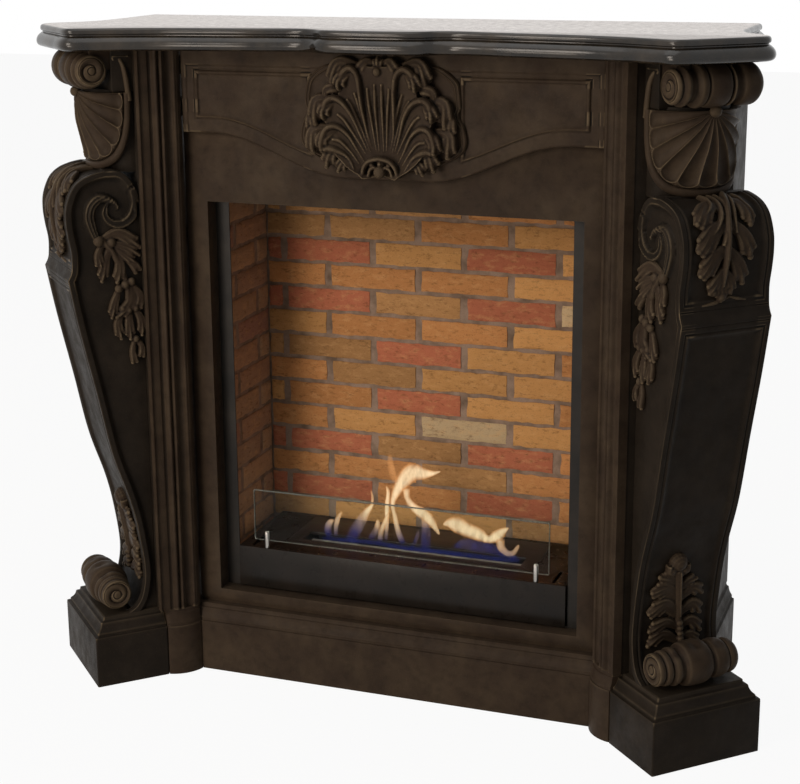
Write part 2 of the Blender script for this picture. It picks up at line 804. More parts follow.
@dataclass(frozen=True)
class CeramicFibre:
    """White ceramic wool that soaks up the spirit: matt, matted threads, scorched in patches."""

    name: str = "ceramic wool"
    white: str = "#d9d5cb"
    scorched: str = "#6d655b"

    def build(self) -> Material:
        """Makes the material."""
        p = Paint(self.name, **{"Roughness": 1.0, "Specular IOR Level": 0.1})
        threads = p.noise(1.5, 5, 0.7, (0.3, 1, 1))
        base = p.mix(p.band(p.noise(35.0, 4), 0.45, 0.75, 0, 0.8), self.white, self.scorched)
        p.set(Base_Color=base, Normal=p.bump(threads, 1.0))
        return p.material


@dataclass(frozen=True)
class SpiritFlame:
    """A burning tongue of spirit: clear blue at its root, then cream, brightest along its middle."""

    name: str = "spirit flame"
    root: str = "#2b2f6e"
    middle: str = "#c9a68a"
    tip: str = "#fddcae"
    fringe: str = "#dc9250"
    glow: float = 1.0

    def build(self) -> Material:
        """Makes the material from two stored values: the height along a tongue and how dense it is."""
        p = Paint(self.name)
        rise, body = p.value("rise"), p.value("veil")
        colour = p.mix(p.band(rise, 0.1, 0.55), self.root, self.middle)
        colour = p.mix(p.band(rise, 0.5, 0.95), colour, self.tip)
        thin = p.sum(p.band(body, 0.35, 0.9, 0.9, 0.0), p.band(rise, 0.4, 0.8), "MULTIPLY")
        colour = p.mix(thin, colour, self.fringe)
        body = p.sum(body, p.band(rise, 0.0, 0.6, 0.42, 1.0), "MULTIPLY")
        light = add_node(p.tree, "ShaderNodeEmission", {"Color": colour, "Strength": self.glow})
        clear = add_node(p.tree, "ShaderNodeBsdfTransparent")
        veil = p.sum(body, p.band(p.noise(9.0, 3, 0.5, (1, 1, 0.35)), 0.34, 0.62, 0.35, 1.0), "MULTIPLY")
        blend = add_node(p.tree, "ShaderNodeMixShader", {0: veil, 1: clear.outputs[0], 2: light.outputs[0]})
        p.tree.nodes.remove(p.shader)
        p.tree.links.new(blend.outputs[0], p.out.inputs["Surface"])
        return p.material


@dataclass
class Finishes:
    """Every finish of the model, built once."""

    casting: Material = field(default_factory=WaxedCasting().build)
    aged: Material = field(default_factory=WaxedCasting("blackened cast iron", body="#221d18",
                                                        cloud="#2c2620").build)
    slab: Material = field(default_factory=PolishedSlab().build)
    sheet: Material = field(default_factory=StoveBlack("stove black sheet").build)
    burner: Material = field(default_factory=StoveBlack("burner black", "#1a1714", "#241f1b", 0.3).build)
    heated: Material = field(default_factory=BrushedSteel("heat-tinted steel", "#4a423b", "#312c27",
                                                          0.4).build)
    bright: Material = field(default_factory=BrushedSteel("brushed stainless steel").build)
    zinc: Material = field(default_factory=BrushedSteel("zinc-plated steel", "#9c9a94", "#6d6a62", 0.42,
                                                        grain=(1, 1, 0.3)).build)
    brick: Material = field(default_factory=BrickClay().build)
    mortar: Material = field(default_factory=LimeMortar().build)
    glass: Material = field(default_factory=ClearGlass().build)
    rim: Material = field(default_factory=GroundEdge().build)
    wool: Material = field(default_factory=CeramicFibre().build)
    flame: Material = field(default_factory=SpiritFlame().build)


# ---------------------------------------------------------------- stage

def seen(tree: NodeTree) -> NodeSocket:
    """1 for rays of the camera, of gloss and through glass, which see a white studio, and 0 for others."""
    rays = add_node(tree, "ShaderNodeLightPath").outputs
    share = rays["Is Camera Ray"]
    for kind in ("Is Glossy Ray", "Is Transmission Ray"):
        share = add_node(tree, "ShaderNodeMath", {0: share, 1: rays[kind]}, operation="MAXIMUM").outputs[0]
    return share


@dataclass
class Studio:
    """Camera at the photograph's angle, pale floor, white surround and soft lamps."""

    position: tuple[float, float, float] = (0.958, -2.5975, 1.2923)
    azimuth: float = 20.03
    pitch: float = 14.66
    roll: float = -0.0067
    focal_px: float = 1724.9
    middle_px: tuple[float, float] = (405.8, 364.2)
    picture: tuple[int, int] = (800, 784)
    ambient: float = 0.1
    white_share: float = 0.94
    floor_half: float = 12.0

    def camera(self) -> None:
        """Places the camera: its shift puts the optical middle where the photograph has it."""
        data = bpy.data.cameras.new("camera")
        width, height = self.picture
        data.sensor_width = 36.0
        data.lens = 36.0 * self.focal_px / width
        data.shift_x = (width / 2 - self.middle_px[0]) / width
        data.shift_y = (self.middle_px[1] - height / 2) / width
        data.clip_end = 60
        az, tilt = math.radians(self.azimuth), math.radians(self.pitch)
        look = Vector((-math.sin(az) * math.cos(tilt), math.cos(az) * math.cos(tilt), -math.sin(tilt)))
        turn = look.to_track_quat("-Z", "Y").to_matrix().to_4x4() @ Matrix.Rotation(self.roll, 4, "Z")
        made = bpy.data.objects.new("camera", data)
        made.matrix_world = Matrix.Translation(self.position) @ turn
        bpy.context.scene.collection.objects.link(made)
        bpy.context.scene.camera = made

    def lamp(self, name: str, place: tuple[float, float, float], size: float, power: float,
             tint: str = "#ffffff", aim: tuple[float, float, float] = (0, 0, 0.6)) -> None:
        """Adds a square area lamp that faces a point of the model."""
        data = bpy.data.lights.new(name, "AREA")
        data.size, data.energy, data.color = size, power, linear(tint)[:3]
        made = bpy.data.objects.new(name, data)
        made.location = place
        made.rotation_euler = (Vector(aim) - Vector(place)).to_track_quat("-Z", "Y").to_euler()
        bpy.context.scene.collection.objects.link(made)

    def world(self) -> None:
        """White where camera, glossy and transmission rays look, and a dim pale light otherwise."""
        world = bpy.data.worlds.new("studio")
        bpy.context.scene.world = world
        world.use_nodes = True
        tree = world.node_tree
        tree.nodes.clear()
        strength = add_node(tree, "ShaderNodeMapRange", {"Value": seen(tree), "To Min": self.ambient,
                                                         "To Max": 1.0})
        light = add_node(tree, "ShaderNodeBackground", {"Color": linear("#ffffff"),
                                                        "Strength": strength.outputs[0]})
        add_node(tree, "ShaderNodeOutputWorld", {"Surface": light.outputs[0]})

    def floor(self) -> None:
        """A wide pale floor, mostly white to the camera and a little lit, so that it keeps a faint shadow."""
        mesh = bpy.data.meshes.new("floor")
        corners = [(a * self.floor_half, b * self.floor_half, 0)
                   for a, b in ((-1, -1), (1, -1), (1, 1), (-1, 1))]
        mesh.from_pydata(corners, [], [(0, 1, 2, 3)])
        paint = Paint("pale floor", **{"Base Color": linear("#dcdad6"), "Roughness": 0.9,
                                       "Specular IOR Level": 0.1})
        white = add_node(paint.tree, "ShaderNodeEmission", {"Color": linear("#ffffff"), "Strength": 1.0})
        share = paint.sum(seen(paint.tree), self.white_share, "MULTIPLY")
        blend = add_node(paint.tree, "ShaderNodeMixShader", {0: share, 1: paint.shader.outputs[0],
                                                             2: white.outputs[0]})
        paint.tree.links.new(blend.outputs[0], paint.out.inputs["Surface"])
        mesh.materials.append(paint.material)
        object_of(mesh)

    def build(self) -> None:
        """Sets up the whole stage."""
        self.camera()
        self.world()
        self.floor()
        self.lamp("key", (-1.6, -3.2, 2.4), 1.5, 54, "#fff3e6")
        self.lamp("top", (-0.4, -0.7, 3.6), 2.4, 20)
        self.lamp("low front", (-1.2, -3.4, 0.6), 1.3, 40, "#fff0e0")
        self.lamp("back", (-1.2, 3.2, 2.1), 3.2, 8, "#ffe0c8", aim=(0, 0, 1.1))
        bpy.context.scene.view_settings.view_transform = "Standard"


# ---------------------------------------------------------------- plinth and pilasters

@dataclass
class Plinth:
    """Moulded blocks, rail and round-fronted bases that everything stands on."""

    face_h: float = 88.0
    block_w: float = 200.0
    block_back: float = 62.3
    block_front: float = 190.0
    soft: float = 1.4
    # how far a block's outer rear corner leans back, so that no light shows beside the return
    lean: float = 2.4
    # moulding from the plain face up, as (share of its set-back, height above the face)
    profile: Pairs = (
        (0.0, 0.0), (0.02, 1.6), (0.24, 2.6), (0.26, 6.4), (0.3, 8.0), (0.38, 9.6), (0.5, 12.6), (0.6, 16.4),
        (0.66, 20.4), (0.68, 22.4), (0.74, 23.4), (0.86, 24.0), (0.93, 25.2), (0.97, 27.6), (0.98, 31.0))

    def edge(self, reach: float, rise: float = 0.0) -> Array:
        """The moulding as (set-back, z) rows from the floor to the top, with rows close to its corners."""
        rows = [(0.0, 0.0), (0.0, 0.6)]
        rows += [(0.0, z) for z in np.linspace(6, self.face_h + rise - 6, 8)]
        rows += [(0.0, self.face_h + rise - 1.2)]
        curve = catmull([(s * reach, self.face_h + rise + h) for s, h in self.profile[1:]], 3)
        rows += [tuple(p) for p in curve]
        top = self.face_h + rise + self.profile[-1][1]
        last = rows[-1][0]
        rows[-1] = (last, top - 1.0)
        return np.array(rows + [(last + 0.3, top - 0.3), (last + 1.0, top)])

    def block(self) -> Solid:
        """Canted block: its outline, set back by the moulding on three sides, at each height."""
        rings = []
        for back, z in self.edge(21.0):
            low, high, front = back, self.block_w - back, self.block_front - back
            corners = [(low, self.block_back), (low, front), (high, front),
                       (high, self.block_back - self.lean)]
            rings.append(level(rounded_outline(corners, self.soft * 2), z))
        return loft(rings).placed(pier)

    def rail(self) -> Solid:
        """Straight rail: the moulding carried from end to end, with both ends mitred at 45 degrees."""
        edge = self.edge(14.5)
        outline = np.vstack([edge, [[45.0, edge[-1, 1]], [45.0, PLINTH_H - 14], [28.0, PLINTH_H - 14],
                                    [28.0, 0.0]]])
        half = RAIL_HALF - 0.5
        stops = np.concatenate([[-1, -0.9985], np.linspace(-0.98, 0.98, 30), [0.9985, 1]])
        return loft(np.column_stack([t * (half + outline[:, 0]), outline]) for t in stops)

    def base(self) -> Solid:
        """Round-fronted base below a pilaster: an arc of the base's bulge, set back by the moulding."""
        rings = []
        half, bulge = 31.0, 9.0
        radius = (half**2 + bulge**2) / (2 * bulge)
        for set_back, z in self.edge(9.0):
            t = np.linspace(-1, 1, 25) * math.asin((half - 0.6) / radius)
            arc = np.column_stack([radius - bulge - (radius - set_back) * np.cos(t),
                                   half + radius * np.sin(t)])
            rings.append(level(np.vstack([arc, [[33.0, 2 * half - 0.6], [33.0, 0.6]]]), z))
        return loft(rings).placed(pier)

    def return_base(self) -> Solid:
        """Base of a side return: the moulding's outline, raised, carried back to the wall."""
        low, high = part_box("right_return_plinth")
        rise = high.z / MM - PLINTH_H
        face = high.x / MM
        edge = self.edge(14.5, rise)
        outline = np.vstack([edge, [[28.0, edge[-1, 1]], [28.0, 0.0]]])
        start, end = (low.y - RAIL_FACE) / MM, (high.y - RAIL_FACE) / MM
        stops = np.concatenate([[start, start + 0.6], np.linspace(start + 6, end - 6, 10), [end - 0.6, end]])
        outline[:, 0] = face - outline[:, 0]
        return loft(level(outline, y)[:, [0, 2, 1]] for y in stops)

    def build(self, casting: Material, aged: Material) -> None:
        """Adds the blocks, rail and bases."""
        add_pair("plinth_casting", self.block(), aged, ["plinth_block"], rounds=2, sharp=35.0)
        add_piece("rail_casting", self.rail(), casting, replaced=["plinth_rail"], rounds=2, sharp=35.0)
        add_pair("pilaster_foot", self.base(), casting, ["pilaster_base"], rounds=2, sharp=35.0)
        add_pair("return_foot", self.return_base(), aged, ["return_plinth"], rounds=2, sharp=35.0)


@dataclass
class Pilaster:
    """Reeded strips between frieze and console, and the plain side returns behind."""

    # plan of the front as (proud of the strip's face, reach), from the console back to the frieze
    plan: Pairs = (
        (3.0, 72.8), (3.0, 71.2), (1.5, 69.8), (0.0, 68.8), (0.0, 56.0), (-1.2, 54.4), (-3.0, 53.4),
        (-3.0, 49.6), (-2.0, 48.0), (0.6, 46.6), (3.2, 44.8), (4.4, 42.4), (3.2, 40.0), (0.6, 38.2),
        (-2.6, 37.4), (-2.6, 36.6), (0.4, 35.6), (2.8, 34.0), (3.4, 32.2), (2.6, 30.4), (0.2, 29.0),
        (-2.6, 28.2), (-2.4, 26.6), (-4.4, 24.4), (-5.4, 20.6), (-4.6, 16.6), (-2.0, 14.0), (0.6, 13.0),
        (1.4, 10.6), (0.4, 8.4), (0.0, 6.2))

    def strip(self) -> Solid:
        """The plan of the reeds, closed behind, carried up from the plinth to the shelf."""
        front = catmull([(1 - p, r) for p, r in self.plan], 3)
        flat = pier_plan(front)
        tail = np.array([[flat[-1, 0], 8.0], [364.0, 8.0], [364.0, 62.0], [372.0, 62.0]])
        outline = np.vstack([flat, tail, pier_plan([(14.0, 24.0), (14.0, 72.6)])])
        rings = []
        for z in (PLINTH_H, PLINTH_H + 0.6, *np.linspace(PLINTH_H + 8, SHELF_Z - 8, 60), SHELF_Z - 0.6,
                  SHELF_Z):
            ring = level(outline, z)
            ring[:len(flat), 1] += 0.25 * ripple(ring, 160.0, 5)[:len(flat)]
            rings.append(ring)
        return loft(rings)

    def build(self, casting: Material, aged: Material) -> None:
        """Adds the strips, and gives the returns rounded edges."""
        add_pair("reeded_strip", self.strip(), casting, ["pilaster"], sharp=60.0, ridge=3.5)
        for side in ("left", "right"):
            softened(f"{side}_side_return", f"{side}_return_panel", aged, 1.2)


# ---------------------------------------------------------------- shelf

@dataclass
class Shelf:
    """Polished serpentine slab: one plan line, set back by the moulding of its edge at each height."""

    over: float = 20.0
    bow: float = 70.0
    roll_reach: float = 140.0
    block_w: float = 200.0
    # how far the slab stays inside the plan line
    margin: float = 0.35
    # moulding as (set-back, share of the thickness): big bullnose below, quirk, small roll above
    profile: Pairs = (
        (16.0, 0.0), (11.5, 0.0), (8.4, 0.01), (5.0, 0.035), (2.6, 0.075), (1.1, 0.13), (0.3, 0.19),
        (0.0, 0.25), (0.2, 0.32), (0.9, 0.39), (2.3, 0.46), (4.2, 0.525), (6.6, 0.585), (8.6, 0.625),
        (9.9, 0.645), (10.6, 0.66), (10.6, 0.70), (10.1, 0.712), (8.7, 0.725), (7.9, 0.75), (7.5, 0.79),
        (7.4, 0.84), (7.8, 0.89), (8.6, 0.935), (9.9, 0.97), (11.6, 0.99), (13.8, 1.0))

    def plan(self) -> Array:
        """Right half of the plan line, from the middle of the front round to the wall."""
        front = [(x, y - self.bow) for x, y in (
            (0, 0), (56, 3), (84, 10), (104, 24), (128, 30), (162, 25), (210, 15), (280, 4),
            (RAIL_HALF - 5, -8), (RAIL_HALF + 50, -25), (RAIL_HALF + 95, -46))]
        canted = [(5, 48), (60, 54), (self.block_w - 74, 56), (self.block_w - 40, 54),
                  (self.block_w - 22, 41), (self.block_w - 14, 23), (self.block_w - 11, 0),
                  (self.block_w - 10, -26)]
        reach = self.roll_reach + self.over - 20
        corner = pier_plan([(a, reach + r) for a, r in canted])
        side_x = RAIL_HALF + (self.block_w + 46) * DIAG
        wall = [(side_x + 27, 95), (side_x + 25, 140), (side_x + 25, WALL_Y)]
        return catmull(np.vstack([front, corner, wall]), 7)

    def slab(self) -> Solid:
        """The slab: rings of the plan line, each set back and lifted by one point of the moulding."""
        half = self.plan()
        line = np.vstack([(half * [-1, 1])[:0:-1], half])
        rings = []
        for back, share in self.profile:
            ring = inset(line, -(back + self.margin))
            ring[:, 1] = np.minimum(ring[:, 1], WALL_Y)
            rings.append(level(ring, SHELF_Z + (SHELF_TOP - SHELF_Z) * share))
        return loft(rings)

    def build(self, finish: Material) -> None:
        """Adds the slab."""
        add_piece("polished_shelf", self.slab(), finish, "polished_slab", ["mantel_shelf"], sharp=32.0,
                  ridge=2.0)


# ---------------------------------------------------------------- consoles

# relief of a framed face as (distance from its edge, height): flat band, quirk, bead, sunk panel
FRAME_RELIEF = ((0, -1.6), (0.8, -0.5), (1.8, 0.0), (8.2, 0.0), (9.4, -1.8), (10.6, -1.8), (11.6, -0.5),
                (13.4, 0.1), (15.2, -0.5), (16.4, -2.0), (18.5, -3.6), (21, -4.4), (24, -4.6))


@dataclass
class Console:
    """S-shaped scroll console: a loft from its front edge back to the flange, with carved faces."""

    low: float = 20.5
    high: float = 179.5
    back: float = 72.0
    ledge_z: float = 713.0
    knee_h: float = 177.0
    ankle: float = 92.0
    knee: float = 197.5
    neck: float = 124.0
    sink: float = 8.0
    eye: tuple[float, float] = (112.5, 826.0)
    spring_z: float = 826.0
    shaft: Pairs = (
        (0.3, 0), (0.14, 0.02), (0.04, 0.06), (0, 0.13), (0.08, 0.25), (0.2, 0.35), (0.44, 0.49),
        (0.64, 0.67), (0.85, 0.85), (0.985, 0.985), (1, 1))
    bulge: Pairs = (
        (0.99, 0.012), (0.93, 0.06), (0.9, 0.12), (0.89, 0.26), (0.95, 0.42), (0.98, 0.56), (0.95, 0.7),
        (0.8, 0.85), (0.58, 0.935), (0.3, 0.98), (0.04, 1))

    def edge(self) -> Array:
        """Front edge as (reach, z), from the block up to the neck, close-set round the ledge."""
        shaft = [(self.ankle + p * (self.knee - self.ankle), PLINTH_H + z * (self.ledge_z - PLINTH_H))
                 for p, z in self.shaft]
        knee = [(self.neck + p * (self.knee - self.neck), self.ledge_z + z * self.knee_h)
                for p, z in self.bulge]
        fine = catmull(shaft + knee, 12)
        run = lengths(fine)
        ledge = np.interp(self.ledge_z, fine[:, 1], run)
        step = 1 / (0.9 + 1.9 * (1 - bell(run - ledge - 4, 34.0)))
        count = np.concatenate([[0], np.cumsum(step[:-1] * np.diff(run))])
        where = np.interp(np.linspace(0, count[-1], int(count[-1]) + 1), count, run)
        return along(fine, where)

    def outwards(self, edge: Array) -> Array:
        """Unit steps out of the front edge."""
        out = inset(edge, 1.0) - edge
        return out if out[len(out) // 2, 0] > 0 else -out

    def on_front(self, sunk: float) -> Placing:
        """Puts (across, run up the front edge, height) on the front, over a ground sunk into it."""
        edge = self.edge()
        run, out = lengths(edge), self.outwards(edge)

        def place(p: Array) -> Array:
            spot, away = (np.stack([np.interp(p[..., 1], run, line[:, i]) for i in (0, 1)], -1)
                          for line in (edge, out))
            return pier(np.concatenate([p[..., :1], spot + away * (p[..., 2:] - sunk)], -1))

        return place

    def on_side(self, p: Array) -> Array:
        """Puts (reach, z, height) on the sunk field of the inner side."""
        return pier(np.stack([self.low + self.sink - p[..., 2], p[..., 0], p[..., 1]], -1))

    def run_up(self, z: float) -> float:
        """Run up the front edge to a height."""
        edge = self.edge()
        return float(np.interp(z, edge[:, 1], lengths(edge)))

    def arch(self, share: Array) -> Array:
        """Back of the knee as (reach, z): a quarter of an oval round the eye, up from the spring line."""
        angle = np.radians(90) * share
        return np.stack([self.eye[0] - 40.5 * np.cos(angle), self.spring_z + 63.4 * np.sin(angle)], -1)

    def rear(self, edge: Array) -> Array:
        """Where each row ends behind: on the flange, and above the spring line on the arch."""
        run = lengths(edge)
        spring = np.interp(self.spring_z, edge[:, 1], run)
        share = np.clip((run - spring) / (run[-1] - spring), 0, 1)
        straight = np.stack([np.full(len(edge), self.back), edge[:, 1]], 1)
        return np.where((run > spring)[:, None], self.arch(ease(share) * 0.25 + 0.75 * share), straight)

    def spiral(self) -> Array:
        """Middle line of the volute as (reach, z): a spiral that winds in from the back of the arch."""
        turn = np.radians(np.linspace(140, 425, 110))
        radius = table(np.degrees(turn), [(140, 41), (180, 33.5), (225, 29), (270, 25), (315, 20.5),
                                          (360, 16.5), (425, 12.5)])
        return np.stack([self.eye[0] + radius * np.cos(turn), self.eye[1] + radius * np.sin(turn)], 1)

    def side_height(self, spot: Array, gap: Array) -> Array:
        """Height of a side over its outer plane at (reach, z), with the distance from its outline.

        A flat band follows the outline, and a soft cove falls from it to the sunk field. The volute is a
        crescent that narrows along a spiral. A stem of three ridges swells out of its eye and hangs down.
        """
        band = [(0, -1.6), (0.8, -0.5), (1.8, 0), (9.0, 0), (10.4, -0.8), (12.4, -3.2), (15, -6.2),
                (17.5, -7.6), (20, -self.sink), (30, -self.sink)]
        height = table(gap, band)
        line = self.spiral()
        near, where = nearest(spot, line)
        share = where / lengths(line)[-1]
        half = table(share, [(0, 7.2), (0.25, 8.6), (0.55, 8.0), (0.8, 5.0), (1, 2.0)])
        crown = table(share, [(0, 0.0), (0.5, -0.8), (1, -3.5)])
        dish = 1.6 * bell(near, 0.45 * half)
        crescent = crown - (self.sink + crown) * ease((near / half - 0.72) / 0.5) - dish
        height = np.maximum(height, np.where(near < half * 1.25, crescent, -self.sink))
        off_flange = spot[..., 0] > self.back + 8
        dip = bell(near - half * 1.15, 2.6) * 3.0 * ease((0.75 - share) / 0.3) * off_flange
        height = height - np.where(near > half, dip, 0)
        stem = catmull([(108, 826), (111, 835), (121, 842), (137, 845), (151, 834), (156, 817), (153, 800),
                        (148, 784), (143, 774)], 14)
        near, where = nearest(spot, stem)
        share = where / lengths(stem)[-1]
        half = table(share, [(0, 2.4), (0.15, 5.0), (0.4, 9.6), (0.7, 9.6), (0.9, 7.0), (1, 5.5)])
        round_part = np.sqrt(np.clip(1 - (near / half) ** 2, 0, 1))
        ribs = 1.3 * np.cos(near / half * 3.1 * np.pi) * round_part
        height = np.maximum(height, -self.sink + 8.2 * round_part + ribs)
        flat = np.concatenate([spot, 0 * spot[..., :1]], -1)
        return np.minimum(height, 0.4) + 0.25 * ripple(flat, 60.0, 11)

    def front_height(self, a: Array, edge: Array) -> Array:
        """Height of the front over its edge, by the distance to the nearest side of its two panels."""
        run = lengths(edge)[:, None]
        ledge = np.interp(self.ledge_z, edge[:, 1], run[:, 0])
        side = np.minimum(a - self.low, self.high - a)[None, :]
        shaft = np.minimum(side, ledge - 5 - run)
        knee = np.minimum(side, run - (ledge + 19))
        gap = np.maximum(shaft, knee)
        return table(gap, FRAME_RELIEF) + np.where(gap < 0, 1.4, 0.0) * ease(side / 3)

    def body(self) -> Solid:
        """Loft of the shaft and knee: inner side, corner, front, corner, outer side and back in each row."""
        edge = self.edge()
        rear = self.rear(edge)
        out = self.outwards(edge)
        r = 1.6
        close = np.arange(0.4, 25, 1.0)
        wide = self.high - self.low
        steps = np.concatenate([close, np.linspace(close[-1] + 3, wide - close[-1] - 3, 22),
                                wide - close[::-1]])
        a = self.low + r + (wide - 2 * r) * (steps - steps[0]) / (steps[-1] - steps[0])
        front = self.front_height(a, edge)
        t = np.linspace(0, 1, 88)[:-1]
        back_to_front = rear[:, None] + (edge - rear)[:, None] * t[None, :, None]
        outline = np.vstack([edge, self.arch(np.linspace(1, 0, 40))])
        gap, _ = nearest(back_to_front, outline)
        depth = self.side_height(back_to_front, gap)
        free = ease((rear[:, 1:] - self.spring_z) / 12)
        fade = np.maximum(ease(np.minimum(np.arange(len(t)) / 4, 1))[None, :], free)
        depth = depth * fade - (1 - fade) * self.sink

        def grid(across: Array, spot: Array) -> Array:
            return np.concatenate([np.broadcast_to(across, spot.shape[:2])[..., None], spot], -1)

        bend = np.radians([15, 45, 75])
        corner = np.stack([1 - np.cos(bend), np.sin(bend)], 1) * r
        inner_corner = grid(self.low + corner[None, :, 0],
                            edge[:, None] - out[:, None] * (r - corner[None, :, 1:]))
        face = grid(a[None, :], edge[:, None] + out[:, None] * front[..., None])
        outer_corner = grid(self.high - corner[None, ::-1, 0],
                            edge[:, None] - out[:, None] * (r - corner[None, ::-1, 1:]))
        inner = grid(self.low - depth, back_to_front)
        outer = grid(self.high + depth[:, ::-1], back_to_front[:, ::-1])
        sunk = self.sink * (1 - free)
        tail = self.high - sunk + (self.low - self.high + 2 * sunk) * np.linspace(0, 1, 8)[None, 1:-1]
        behind = grid(tail, np.repeat(rear[:, None], tail.shape[1], 1))
        ring = np.concatenate([inner, inner_corner, face, outer_corner, outer, behind], 1)
        ring[0, :, 2] = PLINTH_H
        return tube(ring).placed(pier)

    def neck_core(self) -> Solid:
        """The drawn-in neck under the roll: half an oval in plan, whose front follows the shell's bed."""
        line = catmull([(116, 884), (117.5, 894), (120.5, 914.6), (127, 938), (132.5, 960), (136.5, 1004),
                        (136.5, 1018)], 5)
        turn = np.radians(np.linspace(-90, 90, 41))
        rings = []
        for reach, z in line:
            oval = np.stack([100 + 64.3 * np.sin(turn), 74 + (reach - 74) * np.cos(turn)], 1)
            rings.append(level(np.vstack([oval, [[164.3, 54.0], [35.7, 54.0]]]), z))
        return loft(rings).placed(pier)

    def head(self) -> Solid:
        """Square head of the neck behind the roll, with a thin frame line on its two sides."""
        parts = [loft(level(rounded_box((29 + d, 171 - d), (54.0, 107 - d), 2.0), z) for z, d in (
            (1014.0, 3.0), (1016.0, 0.6), (1017.0, 0.0), (1075.0, 0.0), (1083.4, 0.4)))]
        for side in (29.0, 171.0):
            frame_line = [(side, 78, 1072), (side, 102, 1072), (side, 102, 1066)]
            parts.append(blade(catmull(frame_line, 8), np.full(17, 1.4), np.full(17, 1.4), 8))
        return joined(parts).placed(pier)

    def flange(self) -> Solid:
        """Plate behind the console, between the pilaster and the side return."""
        return loft(level(rounded_box((14.4 + d, 178.1 - d), (53.2 + d, 71.4 - d), 0.8, 3), z) for z, d in (
            (PLINTH_H, 0.8), (PLINTH_H + 0.8, 0), (SHELF_Z - 1.0, 0), (SHELF_Z - 0.3, 0.8))).placed(pier)

    def build(self, casting: Material) -> None:
        """Adds both consoles."""
        whole = joined([self.body(), self.neck_core(), self.head(), self.flange()])
        add_pair("scroll_console", whole, casting, ["console"], sharp=50.0, ridge=3.0)


@dataclass
class Scroll:
    """Banded roll across a console, turned with spiral ends."""

    name: str
    node: str
    radius: float
    reach: float
    z: float
    start: float
    end: float
    # radius along the roll as (share of its length, share of its radius)
    bands: Pairs
    turns: float = 1.6
    stem: bool = False
    # thumb marks as (share of the length, angle from the front in degrees, depth)
    dents: tuple[tuple[float, float, float], ...] = ()

    def turned(self) -> Solid:
        """Radius of the bands turned about the roll's axis; on the ends a spiral ridge and a domed eye."""
        length = self.end - self.start
        share = np.linspace(0, 1, 151)
        curve = catmull(self.bands, 6)
        radius = np.interp(share, curve[:, 0], curve[:, 1]) * self.radius
        angle = np.linspace(0, 2 * np.pi, 96, endpoint=False)
        inward = np.linspace(0.985, 0.0, 30)[:-1, None]

        def cap(side: int) -> Array:
            r = inward * (radius[0] if side < 0 else radius[-1])
            twist = (inward * self.turns + angle / (2 * np.pi)) % 1.0
            ridge = np.clip(np.sin(np.pi * twist), 0, 1) ** 0.7 * 3.4 * ease((inward - 0.22) / 0.12)
            dome = 4.6 * np.sqrt(np.clip(1 - (inward / 0.34) ** 2, 0, 1))
            edge = 3.0 * ease((1 - inward) / 0.06)
            high = edge - 4.6 + np.maximum(ridge * ease((1 - inward) / 0.05), dome)
            x = self.start + 3.6 - high if side < 0 else self.end - 3.6 + high
            return np.stack([x, r * np.cos(angle), r * np.sin(angle)], -1)

        x = self.start + 3.6 + share * (length - 7.2)
        skin = np.repeat(radius[:, None], len(angle), 1)
        for place, turn, depth in self.dents:
            far = np.hypot((share[:, None] - place) * length / 9, (angle[None, :] - math.radians(turn)) / 0.3)
            skin = skin - depth * bell(far, 1.0)
        barrel = np.stack([np.repeat(x[:, None], len(angle), 1), skin * np.cos(angle),
                           skin * np.sin(angle)], -1)
        return tube(np.concatenate([cap(-1)[::-1], barrel, cap(1)]) + np.array([0.0, self.reach, self.z]))

    def neck(self) -> Solid:
        """The slip that runs back from the roll under the shelf."""
        return loft(level(rounded_box((34 + d, 168 - d), (106.0 + d, 140.0), 1.0, 3), z) for z, d in (
            (self.z + 1, 0.6), (self.z + 1.6, 0), (SHELF_Z - 1.0, 0), (SHELF_Z - 0.4, 0.6)))

    def build(self, casting: Material) -> None:
        """Adds the roll on both sides."""
        parts = [self.turned()] + ([self.neck()] if self.stem else [])
        add_pair(self.name, joined(parts).placed(pier), casting, [self.node], sharp=55.0, ridge=4.0)


# ---------------------------------------------------------------- fluted shell

